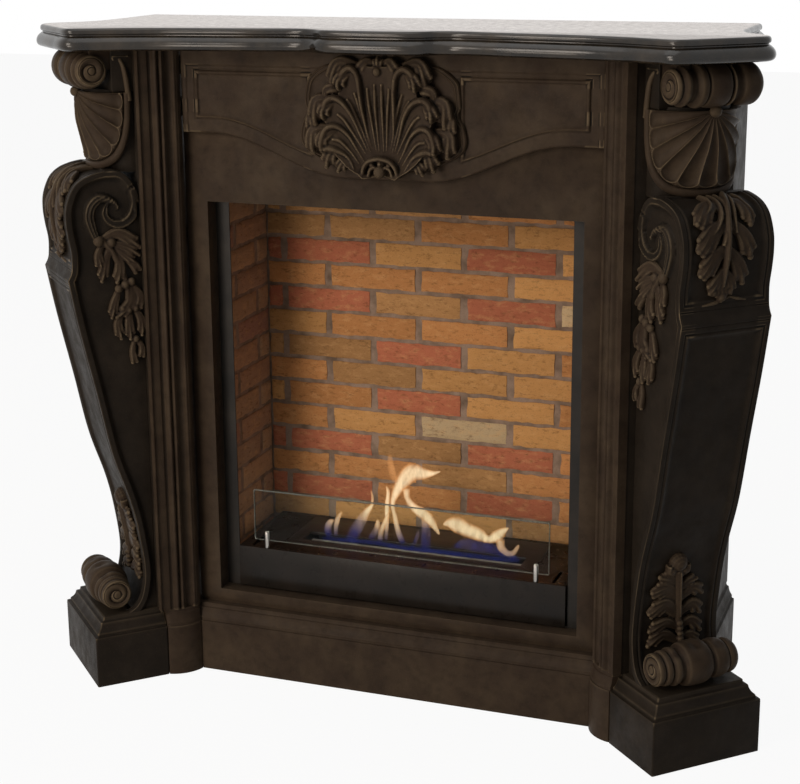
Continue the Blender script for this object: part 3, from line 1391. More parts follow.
@dataclass
class FlutedShell:
    """Shell that wraps the neck: scooped flutes fan out from a pearl to a round lip that sweeps like a C."""

    flutes: int = 11
    half: float = 67.6
    centre: float = 74.0
    quarter: float = 113.0
    foot_z: float = 886.5
    pivot_z: float = 1014.0
    neck: Pairs = (
        (124.0, 894.0), (127.0, 914.6), (133.0, 938.0), (139.0, 960.0), (142.4, 985.0), (143.0, 1004.0),
        (144.0, 1019.6))

    def surface(self, share: Array, angle: Array, proud: Array) -> Array:
        """Places of the shell at a share of its radius and an angle from straight down: (across, reach, z).

        The outline is a superellipse of exponent 3. The sideways run a turns into an angle round the
        neck, t = a / quarter * 90 degrees, and the plan is half an oval: half * sin(t), depth * cos(t).
        """
        wide, tall = self.quarter - 3.5, self.pivot_z - self.foot_z
        long = ((np.abs(np.sin(angle)) / wide) ** 3 + (np.maximum(np.cos(angle), 0) / tall) ** 3) ** (-1 / 3)
        r = long * share / 1.05
        z = self.pivot_z - r * np.cos(angle)
        line = catmull(self.neck, 8)
        depth = np.interp(z, line[:, 1], line[:, 0]) - self.centre
        t = r * np.sin(angle) / self.quarter * np.pi / 2
        normal = np.stack([np.sin(t) / self.half, np.cos(t) / depth], -1)
        normal /= np.linalg.norm(normal, axis=-1, keepdims=True)
        return np.stack([100 + self.half * np.sin(t) + proud * normal[..., 0],
                         self.centre + depth * np.cos(t) + proud * normal[..., 1], z], -1)

    def carving(self, share: Array, x: Array) -> Array:
        """Height over the bed by the share of the radius and the place across a flute, -1 to 1.

        A flute is a channel (1 - x^2)^0.8 that deepens outwards and ends in a round scoop. Thin ridges
        stand between the flutes, a groove runs round their ends, and the lip is half round.
        """
        bow = np.sqrt(np.clip(1 - x**2, 0, 1))
        end = 0.925 - 0.075 * (1 - bow)
        scoop = np.sqrt(np.clip(1 - (1 - np.clip((end - share) / 0.1, 0, 1)) ** 2, 0, 1))
        depth = table(share, [(0.04, 0.6), (0.2, 2.2), (0.45, 4.2), (0.7, 6.0), (0.86, 7.2), (1, 7.2)])
        ground = table(share, [(0.04, 4.6), (0.2, 6.0), (0.45, 8.2), (0.7, 9.8), (0.9, 10.6), (1, 10.6)])
        ridge = 0.9 * bell(1 - np.abs(x), 0.14) * ease((share - 0.1) / 0.3)
        rim = 0.8 * bell(share - end - 0.008, 0.012)
        flute = ground - depth * bow**1.5 * scoop + ridge + rim
        gully = 4.6 * bell(share - 0.945, 0.014)
        lip = 6.4 + 4.4 * np.sqrt(np.clip(1 - ((share - 1.0) / 0.05) ** 2, 0, 1))
        return np.where(share < 0.952, flute - gully, lip)

    def skin(self) -> Solid:
        """The shell as a slab between its carved face and its bed."""
        share = np.concatenate([np.linspace(0.04, 0.76, 40), np.linspace(0.77, 1.05, 54)])[:, None]
        t = np.linspace(0, self.flutes, self.flutes * 18 + 1)[None, :]
        angle = np.pi * (t / self.flutes - 0.5) * 0.999 + 0 * share
        x = (t - np.floor(t)) * 2 - 1
        x = np.where(t == self.flutes, 1.0, x) + 0 * share
        proud = np.maximum(self.carving(share + 0 * t, x), 1.0)
        return slab(self.surface(share + 0 * t, angle, proud),
                    self.surface(share + 0 * t, angle, proud * 0 - 2.6))

    def arms(self) -> list[Solid]:
        """Ends of the lip, which run on upwards beside the head and curl over under the shelf."""
        parts = []
        for side in (-1, 1):
            run = [(73.5, 80, 1001), (73.6, 81, 1014), (73.4, 83, 1034), (72.6, 86, 1052), (70.5, 90, 1064),
                   (67.5, 95, 1070)]
            line = catmull([(100 + side * a, r, z) for a, r, z in run], 8)
            size = table(np.linspace(0, 1, len(line)), [(0, 5.2), (0.5, 4.4), (0.85, 3.2), (1, 1.4)])
            parts.append(blade(line, size, size, 12))
        return parts

    def build(self, casting: Material) -> None:
        """Adds the shell with its pearl on both sides."""
        pearl = ball((100, 148.5, self.pivot_z - 1), (9.5, 8.5, 8.6), 16)
        whole = joined([self.skin(), pearl] + self.arms())
        add_pair("neck_shell", whole.placed(pier), casting, ["capital_shell"], sharp=70.0, ridge=2.5)


# ---------------------------------------------------------------- carved leafwork

@dataclass
class Carving:
    """Leafwork laid out on a flat ground as (u, v): overlapping mounds that are welded into one skin."""

    parts: list[Solid] = field(default_factory=list)

    def rib(self, path: Pairs, width: Pairs, height: Pairs, low: float = -2.0) -> None:
        """A round-topped ridge.

        Args:
            path: points that it runs through.
            width: half width as (share of the run, millimetres).
            height: height of its crest in the same way.
            low: height of its underside.
        """
        line = catmull(path, 7)
        run = lengths(line)
        half, top = table(run / run[-1], width), table(run / run[-1], height)
        thick = np.minimum((top - low) / 2, 1.5 * half + 1.5)
        self.parts.append(blade(np.column_stack([line, top - thick]), half, thick, 10))

    def knob(self, u: float, v: float, radius: float, top: float) -> None:
        """A round knob whose crest lies at a height."""
        self.parts.append(ball((u, v, top - radius * 0.9), (radius, radius, radius * 0.9), 8))

    def lobe(self, root: tuple[float, float], bend: tuple[float, float], tip: tuple[float, float],
             width: float, fingers: int, height: float, low: float = -2.0) -> None:
        """A leaf lobe: a low body with fingers on it that part, swell, and end in round curled tips.

        Args:
            root: where it leaves its stem.
            bend: a point that it curves through.
            tip: its end.
            width: its full width.
            fingers: how many ridges it has.
            height: height of the middle finger.
            low: height of its underside.
        """
        path = catmull([root, bend, tip], 10)
        run = lengths(path)
        t = np.linspace(0, 1, 15)
        spine = along(path, t * run[-1] * 0.93)
        top = height * table(t, [(0, 0.5), (0.4, 0.78), (0.8, 0.9), (1, 0.66)])
        half = width / 2 * table(t, [(0, 0.6), (0.3, 0.95), (0.7, 1.06), (0.88, 0.98), (1, 0.7)])
        self.parts.append(blade(np.column_stack([spine, (top + low) / 2]), half, (top - low) / 2, 12))
        for k in range(fingers):
            off = k - (fingers - 1) / 2
            line = along(path, t * run[-1] * (1 - 0.19 * abs(off)))
            way = tangents(line)
            spread = off / fingers * width * (0.5 + 0.5 * ease(t * 1.4)) * (1 + 0.34 * t**4)
            line = line + np.stack([-way[:, 1], way[:, 0]], 1) * spread[:, None]
            half = width / fingers * table(t, [(0, 0.42), (0.3, 0.54), (0.72, 0.66), (0.92, 0.64), (1, 0.5)])
            top = height * (1 - 0.1 * abs(off)) * table(t, [(0, 0.5), (0.35, 0.76), (0.75, 0.98), (0.9, 1.0),
                                                           (1, 0.8)])
            thick = np.minimum((top - low) / 2, 1.4 * half + 1.2)
            self.parts.append(blade(np.column_stack([line, top - thick]), half, thick, 10))
            self.parts.append(ball((*line[-1], top[-1] - 0.9 * half[-1]),
                                   np.array([1.35, 1.35, 1.2]) * half[-1], 6))

    def mirror(self) -> None:
        """Adds the mirror image of every part at u = 0."""
        self.parts += [part.mirrored() for part in self.parts]

    def skin(self, place: Placing, voxel: float = 1.25, rounds: int = 1) -> Solid:
        """The parts put in place and welded."""
        return fused(joined([part.placed(place) for part in self.parts]), voxel, rounds)


@dataclass(frozen=True)
class Spray:
    """A carved spray of leaves on a console: lobes, ribs and knobs."""

    name: str
    node: str
    height: float
    # (root, bend, tip, width, fingers)
    lobes: tuple[tuple, ...]
    # (points, half widths from start to end, share of the height from start to end)
    ribs: tuple[tuple, ...] = ()
    # (u, v, radius, share of the height)
    knobs: tuple[tuple[float, float, float, float], ...] = ()

    def build(self, ground: Callable[[tuple[float, float]], tuple[float, float]],
              place: Placing, casting: Material) -> None:
        """Carves the spray on both consoles.

        Args:
            ground: turns a point of the lists into (u, v) on the ground.
            place: puts (u, v, height) on the console.
            casting: its finish.
        """
        work = Carving()
        for root, bend, tip, width, fingers in self.lobes:
            work.lobe(ground(root), ground(bend), ground(tip), width, fingers, self.height)
        for points, widths, heights in self.ribs:
            crest = evenly([h * self.height for h in heights])
            work.rib([ground(q) for q in points], evenly(widths), crest)
        for u, v, radius, share in self.knobs:
            work.knob(*ground((u, v)), radius, share * self.height)
        add_pair(self.name, work.skin(place), casting, [self.node], sharp=180.0, ridge=2.2, rounds=2)


KNEE_LEAF = Spray("knee_acanthus", "knee_leaf", 11.5, (
    ((110, 880), (76, 877), (48, 850), 26, 4), ((100, 855), (74, 845), (46, 812), 27, 4),
    ((96, 822), (74, 808), (53, 777), 25, 4), ((94, 792), (82, 774), (72, 756), 17, 3),
    ((118, 886), (135, 878), (139, 852), 20, 3), ((102, 858), (122, 842), (136, 806), 23, 3),
    ((98, 820), (114, 800), (127, 768), 22, 3), ((94, 790), (106, 772), (108, 754), 15, 3),
    ((92, 782), (92, 764), (91, 744), 17, 3)), (
    (((128, 889.4), (113, 881), (101, 859), (96, 828), (94, 793), (93, 766)), (4.2, 5.2, 5.4, 4.6, 3.6),
     (.8, 1.1, 1.2, 1.15, .95)),
    (((86, 889.6), (84, 880), (70, 870), (56, 864)), (2.6, 3.6, 3.8, 2.6), (.5, .95, 1.05, .85)),
    (((100, 889.6), (96, 874), (86, 856), (72, 842)), (2.6, 3.6, 3.8, 2.6), (.5, .95, 1.05, .85)),
    (((112, 889.6), (106, 874), (96, 846), (88, 826)), (2.6, 3.6, 3.4, 2.4), (.5, .95, 1.05, .9)),
    (((142, 889.0), (140, 880), (146, 866), (144, 854)), (2.4, 3.4, 3.4, 2.4), (.5, .85, .95, .75)),
    (((133, 889.4), (122, 880), (114, 862), (112, 842)), (2.4, 3.4, 3.4, 2.4), (.5, .95, 1.0, .85)),
    (((108, 747), (84, 741), (58, 737)), (2.6, 3.6, 2.0), (.4, .6, .42)),
    (((106, 748), (122, 744), (138, 741)), (2.2, 3.0, 1.6), (.4, .55, .4))), (
    (77, 757, 6.4, .98), (92, 749, 7.4, 1.1), (106, 757, 6.0, .95)))

PALMETTE = Spray("foot_palmette", "palmette", 11.0, (
    ((96, 264), (80, 280), (60, 288), 19, 3), ((98, 240), (74, 264), (46, 256), 24, 4),
    ((101, 212), (76, 236), (45, 218), 24, 4), ((104, 192), (80, 204), (51, 194), 18, 3),
    ((106, 168), (76, 184), (48, 170), 18, 3), ((102, 258), (115, 272), (129, 275), 16, 3),
    ((105, 240), (124, 259), (143, 248), 19, 3), ((107, 214), (128, 230), (143, 213), 19, 3),
    ((108, 190), (128, 200), (146, 181), 18, 3), ((109, 168), (126, 176), (143, 162), 15, 3)), (
    (((92, 296), (96, 272), (100, 246), (104, 214), (107, 182)), (8.5, 7.0, 6.2, 5.4, 4.6),
     (1.15, 1.1, 1.0, .95, .85)),
    (((94, 294), (97, 272), (101, 246), (105, 212)), (1.8, 1.9, 1.8, 1.4), (1.35, 1.3, 1.2, 1.1)),
    (((84, 290), (75, 296), (74, 307)), (4.0, 5.0, 4.4), (.9, 1.2, 1.15)),
    (((101, 288), (108, 295), (108, 306)), (4.0, 5.0, 4.4), (.9, 1.2, 1.15))), (
    (91, 309, 16.0, 1.5), (79, 298, 8.0, 1.2), (103, 297, 8.0, 1.2), (106, 200, 5.4, 1.2),
    (107, 191, 5.4, 1.2), (107.6, 182, 5.4, 1.2), (108, 173, 5.4, 1.15)))

GARLAND = Spray("side_leaf_drop", "side_garland", 11.0, (
    ((136, 777), (108, 785), (74, 760), 19, 3), ((126, 771), (98, 762), (76, 747), 14, 3),
    ((118, 764), (99, 748), (82, 734), 13, 3), ((136, 769), (144, 752), (141, 729), 14, 3),
    ((124, 764), (133, 740), (141, 708), 16, 3), ((113, 756), (109, 730), (115, 704), 17, 3),
    ((102, 746), (88, 734), (77, 718), 14, 2), ((93, 700), (94, 668), (118, 645), 18, 3),
    ((110, 696), (121, 670), (127, 645), 14, 3), ((90, 697), (77, 678), (82, 656), 14, 2),
    ((88, 660), (77, 636), (77, 611), 14, 3), ((97, 658), (98, 632), (97, 606), 15, 3),
    ((107, 658), (117, 634), (113, 608), 14, 3), ((86, 604), (78, 590), (80, 572), 11, 2),
    ((90, 602), (94, 584), (91, 562), 11, 2)), (
    (((140, 778), (122, 758), (106, 722), (98, 690), (98, 650), (90, 600)), (5.0, 5.5, 5.0, 4.6, 3.2),
     (.9, .8, .72, .72, .6)),),
    ((143, 775, 9.0, 1.2), (122, 771, 8.0, 1.1), (91, 703, 7.0, 1.05), (102, 699, 7.4, 1.12),
     (113, 693, 7.0, 1.05), (86, 658, 6.0, 1.0), (98, 656, 6.4, 1.05), (109, 659, 6.0, 1.0),
     (88, 605, 6.0, .98)))


@dataclass
class Cartouche:
    """Shell ornament of the frieze: a bowl of flutes inside scrolled rims, leafy curls, and a back plate."""

    face: float = 8.0
    pivot: tuple[float, float] = (0.0, 890.0)
    deep: float = 24.0
    # outline of the bowl as (degrees from upright, radius)
    rim: Pairs = (
        (0, 172), (6, 174), (11, 163), (15, 173), (20, 172), (24.6, 158), (28.7, 142), (33, 145), (41, 140),
        (47, 128), (49.5, 116), (55, 112), (63, 92), (68, 76), (74, 60), (80, 46), (85, 36), (97, 28))
    # scrolled rims from the rosette outwards, over the top and down into a hook
    rims: tuple[Pairs, ...] = (
        ((-20, 936), (-24, 965), (-28, 1000), (-30, 1030), (-34, 1050), (-45, 1060), (-57, 1055), (-64, 1042),
         (-66, 1028)),
        ((-24, 930), (-34, 955), (-45, 985), (-59, 1005), (-75, 1013), (-88, 1008), (-93, 995), (-94, 982)),
        ((-30, 912), (-41, 931), (-55, 955), (-72, 968), (-88, 966), (-97, 950), (-98, 930)),
        ((-44, 900), (-54, 917), (-66, 927), (-82, 933), (-96, 932)))
    # thin ridges inside the lobes
    flutes: tuple[Pairs, ...] = (
        ((-4, 930), (-5.5, 980), (-6, 1024), (-6, 1036)), ((-9, 932), (-14, 980), (-18, 1016), (-19, 1030)),
        ((-17, 935), (-27, 975), (-37, 1008), (-42, 1022)),
        ((-20, 930), (-33, 968), (-47, 1000), (-55, 1012)), ((-28, 926), (-44, 954), (-60, 978), (-72, 988)),
        ((-38, 909), (-52, 929), (-68, 945), (-82, 948)))
    # how far the points of a rim and of a ridge stand over the bowl
    rim_lift: tuple[float, ...] = (0.8, 2.4, 4.2, 6.2, 8.0, 9.0, 9.0, 7.0, 4.0)
    flute_lift: tuple[float, ...] = (1, 2.2, 3.4, 3.0)
    # leafy curls outside the rims: root, bend, tip, width, fingers, height
    curls: tuple[tuple, ...] = (
        ((-38, 1062), (-70, 1066), (-82, 1034), 22, 3, 26.0),
        ((-94, 1004), (-92, 1024), (-72, 1030), 15, 2, 25.0),
        ((-82, 1008), (-110, 1006), (-113, 972), 23, 3, 24.0),
        ((-94, 964), (-118, 958), (-118, 926), 22, 3, 23.0),
        ((-56, 924), (-84, 928), (-94, 904), 22, 3, 23.0),
        ((-46, 904), (-64, 912), (-74, 897), 17, 3, 20.0),
        ((-100, 986), (-122, 985), (-124, 962), 13, 2, 20.0),
        ((-6, 1062), (-20, 1070), (-33, 1056), 15, 2, 28.0))
    # left half of the back plate
    plate: Pairs = (
        (0, 1068), (-60, 1068), (-95, 1064), (-114, 1055), (-130, 1041), (-135, 1025), (-137, 1003),
        (-133, 988), (-142, 971), (-146, 945), (-134, 926), (-100, 910), (-60, 897), (0, 892))

    def bowl(self) -> Solid:
        """The fluted bed: its height grows with the share s of its radius as 4 + deep * s^1.4."""
        turn = np.linspace(-97, 97, 161)
        share = np.concatenate([np.linspace(0.05, 0.9, 20), [0.95, 0.98, 1.0]])[:, None]
        radius = table(np.abs(turn), self.rim)[None, :]
        x = self.pivot[0] + np.sin(np.radians(turn)) * radius * share
        z = self.pivot[1] + np.cos(np.radians(turn)) * radius * share
        h = 4 + (self.deep - 4) * share**1.4 + 0 * x
        return slab(np.stack([x, z, h], -1), np.stack([x, z, 0 * x - 2], -1))

    def bed(self, x: float, z: float) -> float:
        """Height of the bowl at a point."""
        far = math.hypot(x, z - self.pivot[1])
        turn = math.degrees(math.atan2(abs(x), z - self.pivot[1]))
        return 4 + (self.deep - 4) * min(far / float(table(np.array(turn), self.rim)), 1.0) ** 1.4

    def carved(self) -> Solid:
        """Bowl, rims, flutes, curls and rosette, welded."""
        work = Carving()
        for path in self.rims:
            crest = evenly([self.bed(*q) + e for q, e in zip(path, self.rim_lift)])
            work.rib(path, [(0, 1.8), (0.35, 3.0), (0.65, 5.0), (0.85, 6.4), (1, 4.4)], crest)
            work.lobe(path[-4], path[-2], path[-1], 19 if len(path) > 5 else 13, 3, crest[-3][1] + 2.4)
        for path in self.flutes:
            crest = evenly([self.bed(*q) + e for q, e in zip(path, self.flute_lift)])
            work.rib(path, [(0, 1.5), (0.5, 2.4), (0.85, 3.6), (1, 2.8)], crest)
        for root, bend, tip, width, fingers, height in self.curls:
            work.lobe(root, bend, tip, width, fingers, height)
        work.rib([(-31, 890), (-28, 904), (-20, 914), (-10, 918), (0, 919.5)], [(0, 3.8), (1, 3.8)],
                 [(0, 20), (0.5, 23), (1, 24)])
        work.rib([(-21, 891), (-17, 902), (-9, 905), (-6, 897)], [(0, 3.0), (0.6, 3.0), (1, 2.2)],
                 [(0, 17), (1, 20)])
        work.knob(-15, 909, 3.4, 18)
        work.mirror()
        work.knob(0, 898, 10.0, 26)
        work.knob(0, 911, 3.6, 20)
        work.knob(0, 1055, 6.5, 30)
        work.lobe((0, 1054), (0, 1063), (0, 1075), 15, 3, 27.0)
        work.parts.append(self.bowl())
        return work.skin(self.place, 1.3, 1)

    def place(self, p: Array) -> Array:
        """Puts (x, z, height) on the frieze."""
        return np.stack([0.955 * p[..., 0] - 3, self.face - p[..., 2], p[..., 1]], -1)

    def backing(self) -> Solid:
        """The plate: its outline shrunk towards the middle, with two raised lines near its edge."""
        left = np.array(self.plate)
        line = catmull(np.vstack([left, (left * [-1, 1])[-2::-1]]), 8)[:-1]
        middle = np.array([0.0, 975.0])
        radius = np.linalg.norm(line - middle, axis=1)
        edge = [(0, 0.4), (1, 2.8), (3, 4.6), (4.8, 3.2), (6.6, 3.4), (8.2, 4.8), (10.2, 3.2), (14, 2.4),
                (200, 2.4)]
        rings = [level(line, -2.0)]
        for back in np.concatenate([np.arange(0, 15, 0.75), [20, 35, 60, 80]]):
            share = 1 - back / radius
            height = table(radius * (1 - share), edge)
            rings.append(np.column_stack([middle + (line - middle) * share[:, None], height]))
        return tube(np.array(rings)).placed(self.place)

    def build(self, casting: Material) -> None:
        """Adds the ornament and its plate."""
        add_piece("shell_ornament", self.carved(), casting, replaced=["shell_cartouche"], sharp=180.0,
                  ridge=2.4, rounds=2)
        add_piece("ornament_plate", self.backing(), casting, replaced=["shell_cartouche"], sharp=60.0)


# ---------------------------------------------------------------- frieze

@dataclass
class Frieze:
    """Lintel: two sunk panels above a cupid's-bow edge, as relief on one grid."""

    half: float = 353.6
    face: float = 8.0
    thick: float = 14.0
    low_z: float = 883.0
    rise: float = 64.0
    flat: float = 70.0
    run: float = 230.0
    field_start: float = 128.0

    def bow(self, x: Array) -> Array:
        """Lower edge: flat in the middle, rising by a smooth step on each side."""
        share = np.clip((np.abs(x) - self.flat) / self.run, 0, 1)
        return self.low_z + self.rise * (1 - np.cos(np.pi * share)) / 2

    def relief(self, x: Array, z: Array) -> Array:
        """Height over the face, by distance inside the two nested outlines of a panel and from the edges."""
        far = np.abs(x)
        above = z - self.bow(x)
        outer = np.minimum(345.0 - far, SHELF_Z - 27 - z)
        inner = np.minimum(np.minimum(327.0 - far, SHELF_Z - 39 - z),
                           np.minimum(above - 27, far - self.field_start))
        height = table(outer, [(-1.5, 0), (0, -0.5), (1.4, -1.9), (3.4, -2.2), (9, -2.2)])
        height += 2.5 * np.sqrt(np.clip(1 - (inner / 2.8) ** 2, 0, 1)) - 1.0 * bell(inner + 4.4, 1.3)
        height -= 0.9 * ease((inner - 2) / 3)
        height -= table(above, [(0, 3.0), (0.8, 1.6), (1.8, 0.6), (3.2, 0.1), (4.4, 0)])
        height -= table(self.half - far, [(0, 1.5), (1.0, 0.4), (2.0, 0)])
        return height + 0.35 * ripple(np.stack([x, 0 * x, z], -1), 90.0, 3)

    def panel(self) -> Solid:
        """Grid of the face with close rows and columns where the mouldings run, and a flat back."""
        low = np.concatenate([np.arange(0, 13, 0.9), np.linspace(14, 33, 7), np.arange(34, 55, 0.9)])
        high = np.concatenate([np.arange(0, 24, 3.5), np.arange(24.5, 48, 0.9)])[::-1]
        side = np.concatenate([np.arange(0, 32, 0.9), np.linspace(34, 211, 48), np.arange(212.5, 228, 1.1)])
        x = np.concatenate([-self.half + side, np.linspace(-self.half + 230, self.half - 230, 40),
                            (self.half - side)[::-1]])
        bow = self.bow(x)
        lower = bow[None, :] + low[:, None]
        upper = (SHELF_Z - 0.4 - high)[:, None] + 0 * bow[None, :]
        middle = lower[-1] + (upper[0] - lower[-1]) * np.linspace(0, 1, 12)[1:-1, None]
        z = np.sort(np.vstack([lower, middle, upper]), 0)
        grid_x = np.repeat(x[None, :], len(z), 0)
        front = np.stack([grid_x, self.face - self.relief(grid_x, z), z], -1)
        back = np.stack([grid_x, np.full(z.shape, self.face + self.thick), z], -1)
        return slab(front, back)

    def build(self, casting: Material) -> None:
        """Adds the lintel."""
        add_piece("frieze_panel", self.panel(), casting, replaced=["frieze"], sharp=55.0, ridge=3.0)


# ---------------------------------------------------------------- firebox and brick lining

class Clay(Enum):
    """Brick colours of the lining."""

    OCHRE = "#b98150"
    SAND = "#c6935b"
    UMBER = "#ab8053"
    RED = "#b0694e"
    ROSE = "#b98a6c"
    LIMED = "#c4ab86"


# bricks of the back panel with a clay of their own, by course from the top and by number from the left
CHOSEN = {(8, 1): Clay.LIMED, (3, 3): Clay.LIMED, (10, 3): Clay.ROSE} | dict.fromkeys(
    ((1, 0), (3, 0), (9, 0), (11, 0), (1, 2), (3, 2), (9, 2), (11, 2), (5, 1), (7, 1)), Clay.RED)


@dataclass
class BrickLining:
    """Running-bond brick panels at the back and sides of the firebox."""

    pitch_x: float = 169.0
    pitch_z: float = 44.0
    joint_x: float = 13.0
    joint_z: float = 7.0
    relief: float = 4.0
    chamber_half: float = 313.7
    panel_z: float = 148.4
    panel_top: float = 839.6
    face_y: float = 242.3
    depth: float = 186.0
    first: float = 17.0
    # row of the top course, and where the numbers start in even and odd rows, left of the middle
    top_row: int = 14
    count_from: tuple[float, float] = (198.2, 282.6)
    # what the bricks of the side panels drift towards
    sooted: str = "#988577"

    def tint(self, course: int, brick: int, back: bool, rng: np.random.Generator) -> Array:
        """A brick's colour as linear RGBA, drifting a little from its clay."""
        pick = rng.random()
        clay = Clay.OCHRE if pick < 0.42 else Clay.SAND if pick < 0.74 else Clay.UMBER
        if back:
            clay = CHOSEN.get((course, brick), clay)
        elif pick > 0.88:
            clay = Clay.RED
        tone = np.array(linear(clay.value)) * (1 + rng.uniform(-0.14, 0.12))
        if not back:
            tone = (tone + 1.4 * np.array(linear(self.sooted))) / 2.4
        tone[3] = 1.0
        return tone

    def brick(self, low: float, high: float, bottom: float, top: float, rng: np.random.Generator) -> Solid:
        """One brick as (along, proud, z): a pillowy face with ragged edges, roughened by waves."""
        seed = int(rng.integers(1 << 30))
        wob = rng.normal(0, 0.5, 6)
        u = np.linspace(-1, 1, 15)[None, :]
        v = np.linspace(-1, 1, 7)[:, None]
        along_x = (low + high) / 2 + u * (high - low) / 2 + 0 * v
        up = (bottom + top) / 2 + v * (top - bottom) / 2 + 0 * u
        spot = np.stack([along_x, 0 * up, up], -1)
        rag = ripple(spot, 26.0, seed)
        fine = ripple(spot, 9.0, seed + 1)
        along_x = along_x + np.sign(u) * (np.abs(u) > 0.95) * (rag * 1.1 + wob[0])
        up = up + np.sign(v) * (np.abs(v) > 0.95) * (rag * 1.1 + 0.5 * fine + wob[1] * 0.6)
        edge = np.minimum((1 - np.abs(u)) * (high - low) / 2, (1 - np.abs(v)) * (top - bottom) / 2)
        proud = self.relief * (0.28 + 0.6 * np.sqrt(np.clip(edge / 5, 0, 1))) + 0.55 * rag + 0.35 * fine
        proud = np.minimum(proud + wob[2] * 0.25, self.relief - 0.1)
        front = np.stack([along_x, proud, up], -1)
        back = np.stack([along_x, np.full(proud.shape, -1.0), up], -1)
        return slab(front, back)

    def courses(self, width: float, phase: float, back: bool, seed: int) -> tuple[Solid, Array]:
        """All bricks of a panel and the colour of each point, courses counted from the top."""
        rng = np.random.default_rng(seed)
        height = self.panel_top - self.panel_z
        parts, tints = [], []
        for row in range(int(height / self.pitch_z) + 2):
            low = max(0.0, self.first + (row - 1) * self.pitch_z + self.joint_z / 2)
            high = min(height, self.first + row * self.pitch_z - self.joint_z / 2)
            shift = (row % 2) / 2
            for k in range(-2, int(width / self.pitch_x) + 2):
                start = phase + (k + shift) * self.pitch_x
                a = max(0.0, start + self.joint_x / 2)
                b = min(width, start + self.pitch_x - self.joint_x / 2)
                if b - a < 6 or high - low < 6:
                    continue
                brick = self.brick(a, b, low, high, rng)
                number = round((a - self.chamber_half + self.count_from[row % 2]) / self.pitch_x)
                tone = self.tint(self.top_row - row, number, back, rng)
                parts.append(brick)
                tints.append(np.repeat(tone[None, :], len(brick.points), 0))
        return joined(parts), np.vstack(tints)

    def bed(self, start: float, end: float, thick: float) -> Solid:
        """Mortar bed as (along, proud, z): a slab whose face lies in soft waves."""
        height = self.panel_top - self.panel_z
        x = np.linspace(start, end, int((end - start) / 9))[None, :]
        z = np.linspace(0.3, height - 0.3, int(height / 9))[:, None]
        spot = np.stack([x + 0 * z, 0 * x + 0 * z, z + 0 * x], -1)
        face = 0.3 * ripple(spot, 40.0, 8) + 0.2 * ripple(spot, 18.0, 9)
        return slab(np.stack([spot[..., 0], face, spot[..., 2]], -1),
                    np.stack([spot[..., 0], np.full(face.shape, -thick), spot[..., 2]], -1))

    def build(self, finishes: Finishes) -> None:
        """Adds the bed and bricks of the three panels."""
        y = self.face_y + self.relief

        def rear(p: Array) -> Array:
            return np.stack([p[..., 0] - self.chamber_half, y - p[..., 1], p[..., 2] + self.panel_z], -1)

        def right(p: Array) -> Array:
            return np.stack([self.chamber_half + self.relief - p[..., 1], self.face_y - p[..., 0],
                             p[..., 2] + self.panel_z], -1)

        def left(p: Array) -> Array:
            return right(p) * np.array([-1.0, 1, 1])

        panels = (("brick_back", rear, 2 * self.chamber_half, 115 - self.pitch_x, True, 13.0, 3),
                  ("brick_right", right, self.depth, -40.0, False, 20.0, 5),
                  ("brick_left", left, self.depth, -40.0, False, 20.0, 9))
        for node, place, width, phase, back, thick, seed in panels:
            bed = self.bed(-3.4 if back else -16.5, width + 3.4 if back else width - 0.3, thick)
            add_piece(f"{node}_mortar", bed.placed(place), finishes.mortar, "brick", [node])
            bricks, tint = self.courses(width, phase, back, seed)
            made = add_piece(f"{node}_facing", bricks.placed(place), finishes.brick, "brick", [node],
                             sharp=60.0, ridge=5.0)
            set_values(made.data, "clay", tint)


def upright(half: float, low: float, high: float, y: float, radius: float) -> Array:
    """Upright rounded rectangle at a depth y."""
    ring = rounded_outline([(-half, low), (half, low), (half, high), (-half, high)], radius, 5)
    return level(ring, y)[:, [0, 2, 1]]


def window(outer: tuple[float, float, float], mouth: tuple[float, float, float], front: float,
           back: float, radius: float = 2.5, soft: float = 0.3) -> Solid:
    """Upright frame with a rectangular mouth: rings of its two outlines, joined round.

    Args:
        outer: half width, lower and upper height of the frame.
        mouth: the same of its mouth.
        front: place of the face.
        back: place of the back.
        radius: corner radius.
        soft: how far the edges of the face are cut back.

    Returns:
        The frame.
    """
    stations = ((outer, front, -soft), (mouth, front, soft), (mouth, front + soft, 0), (mouth, back, 0),
                (outer, back, 0), (outer, front + soft, 0))
    points = np.array([upright(half + grow, low - grow, high + grow, y, radius)
                       for (half, low, high), y, grow in stations])
    count = points.shape[0] * points.shape[1]
    return Solid(points.reshape(-1, 3), [quads(len(points) + 1, points.shape[1], True) % count])


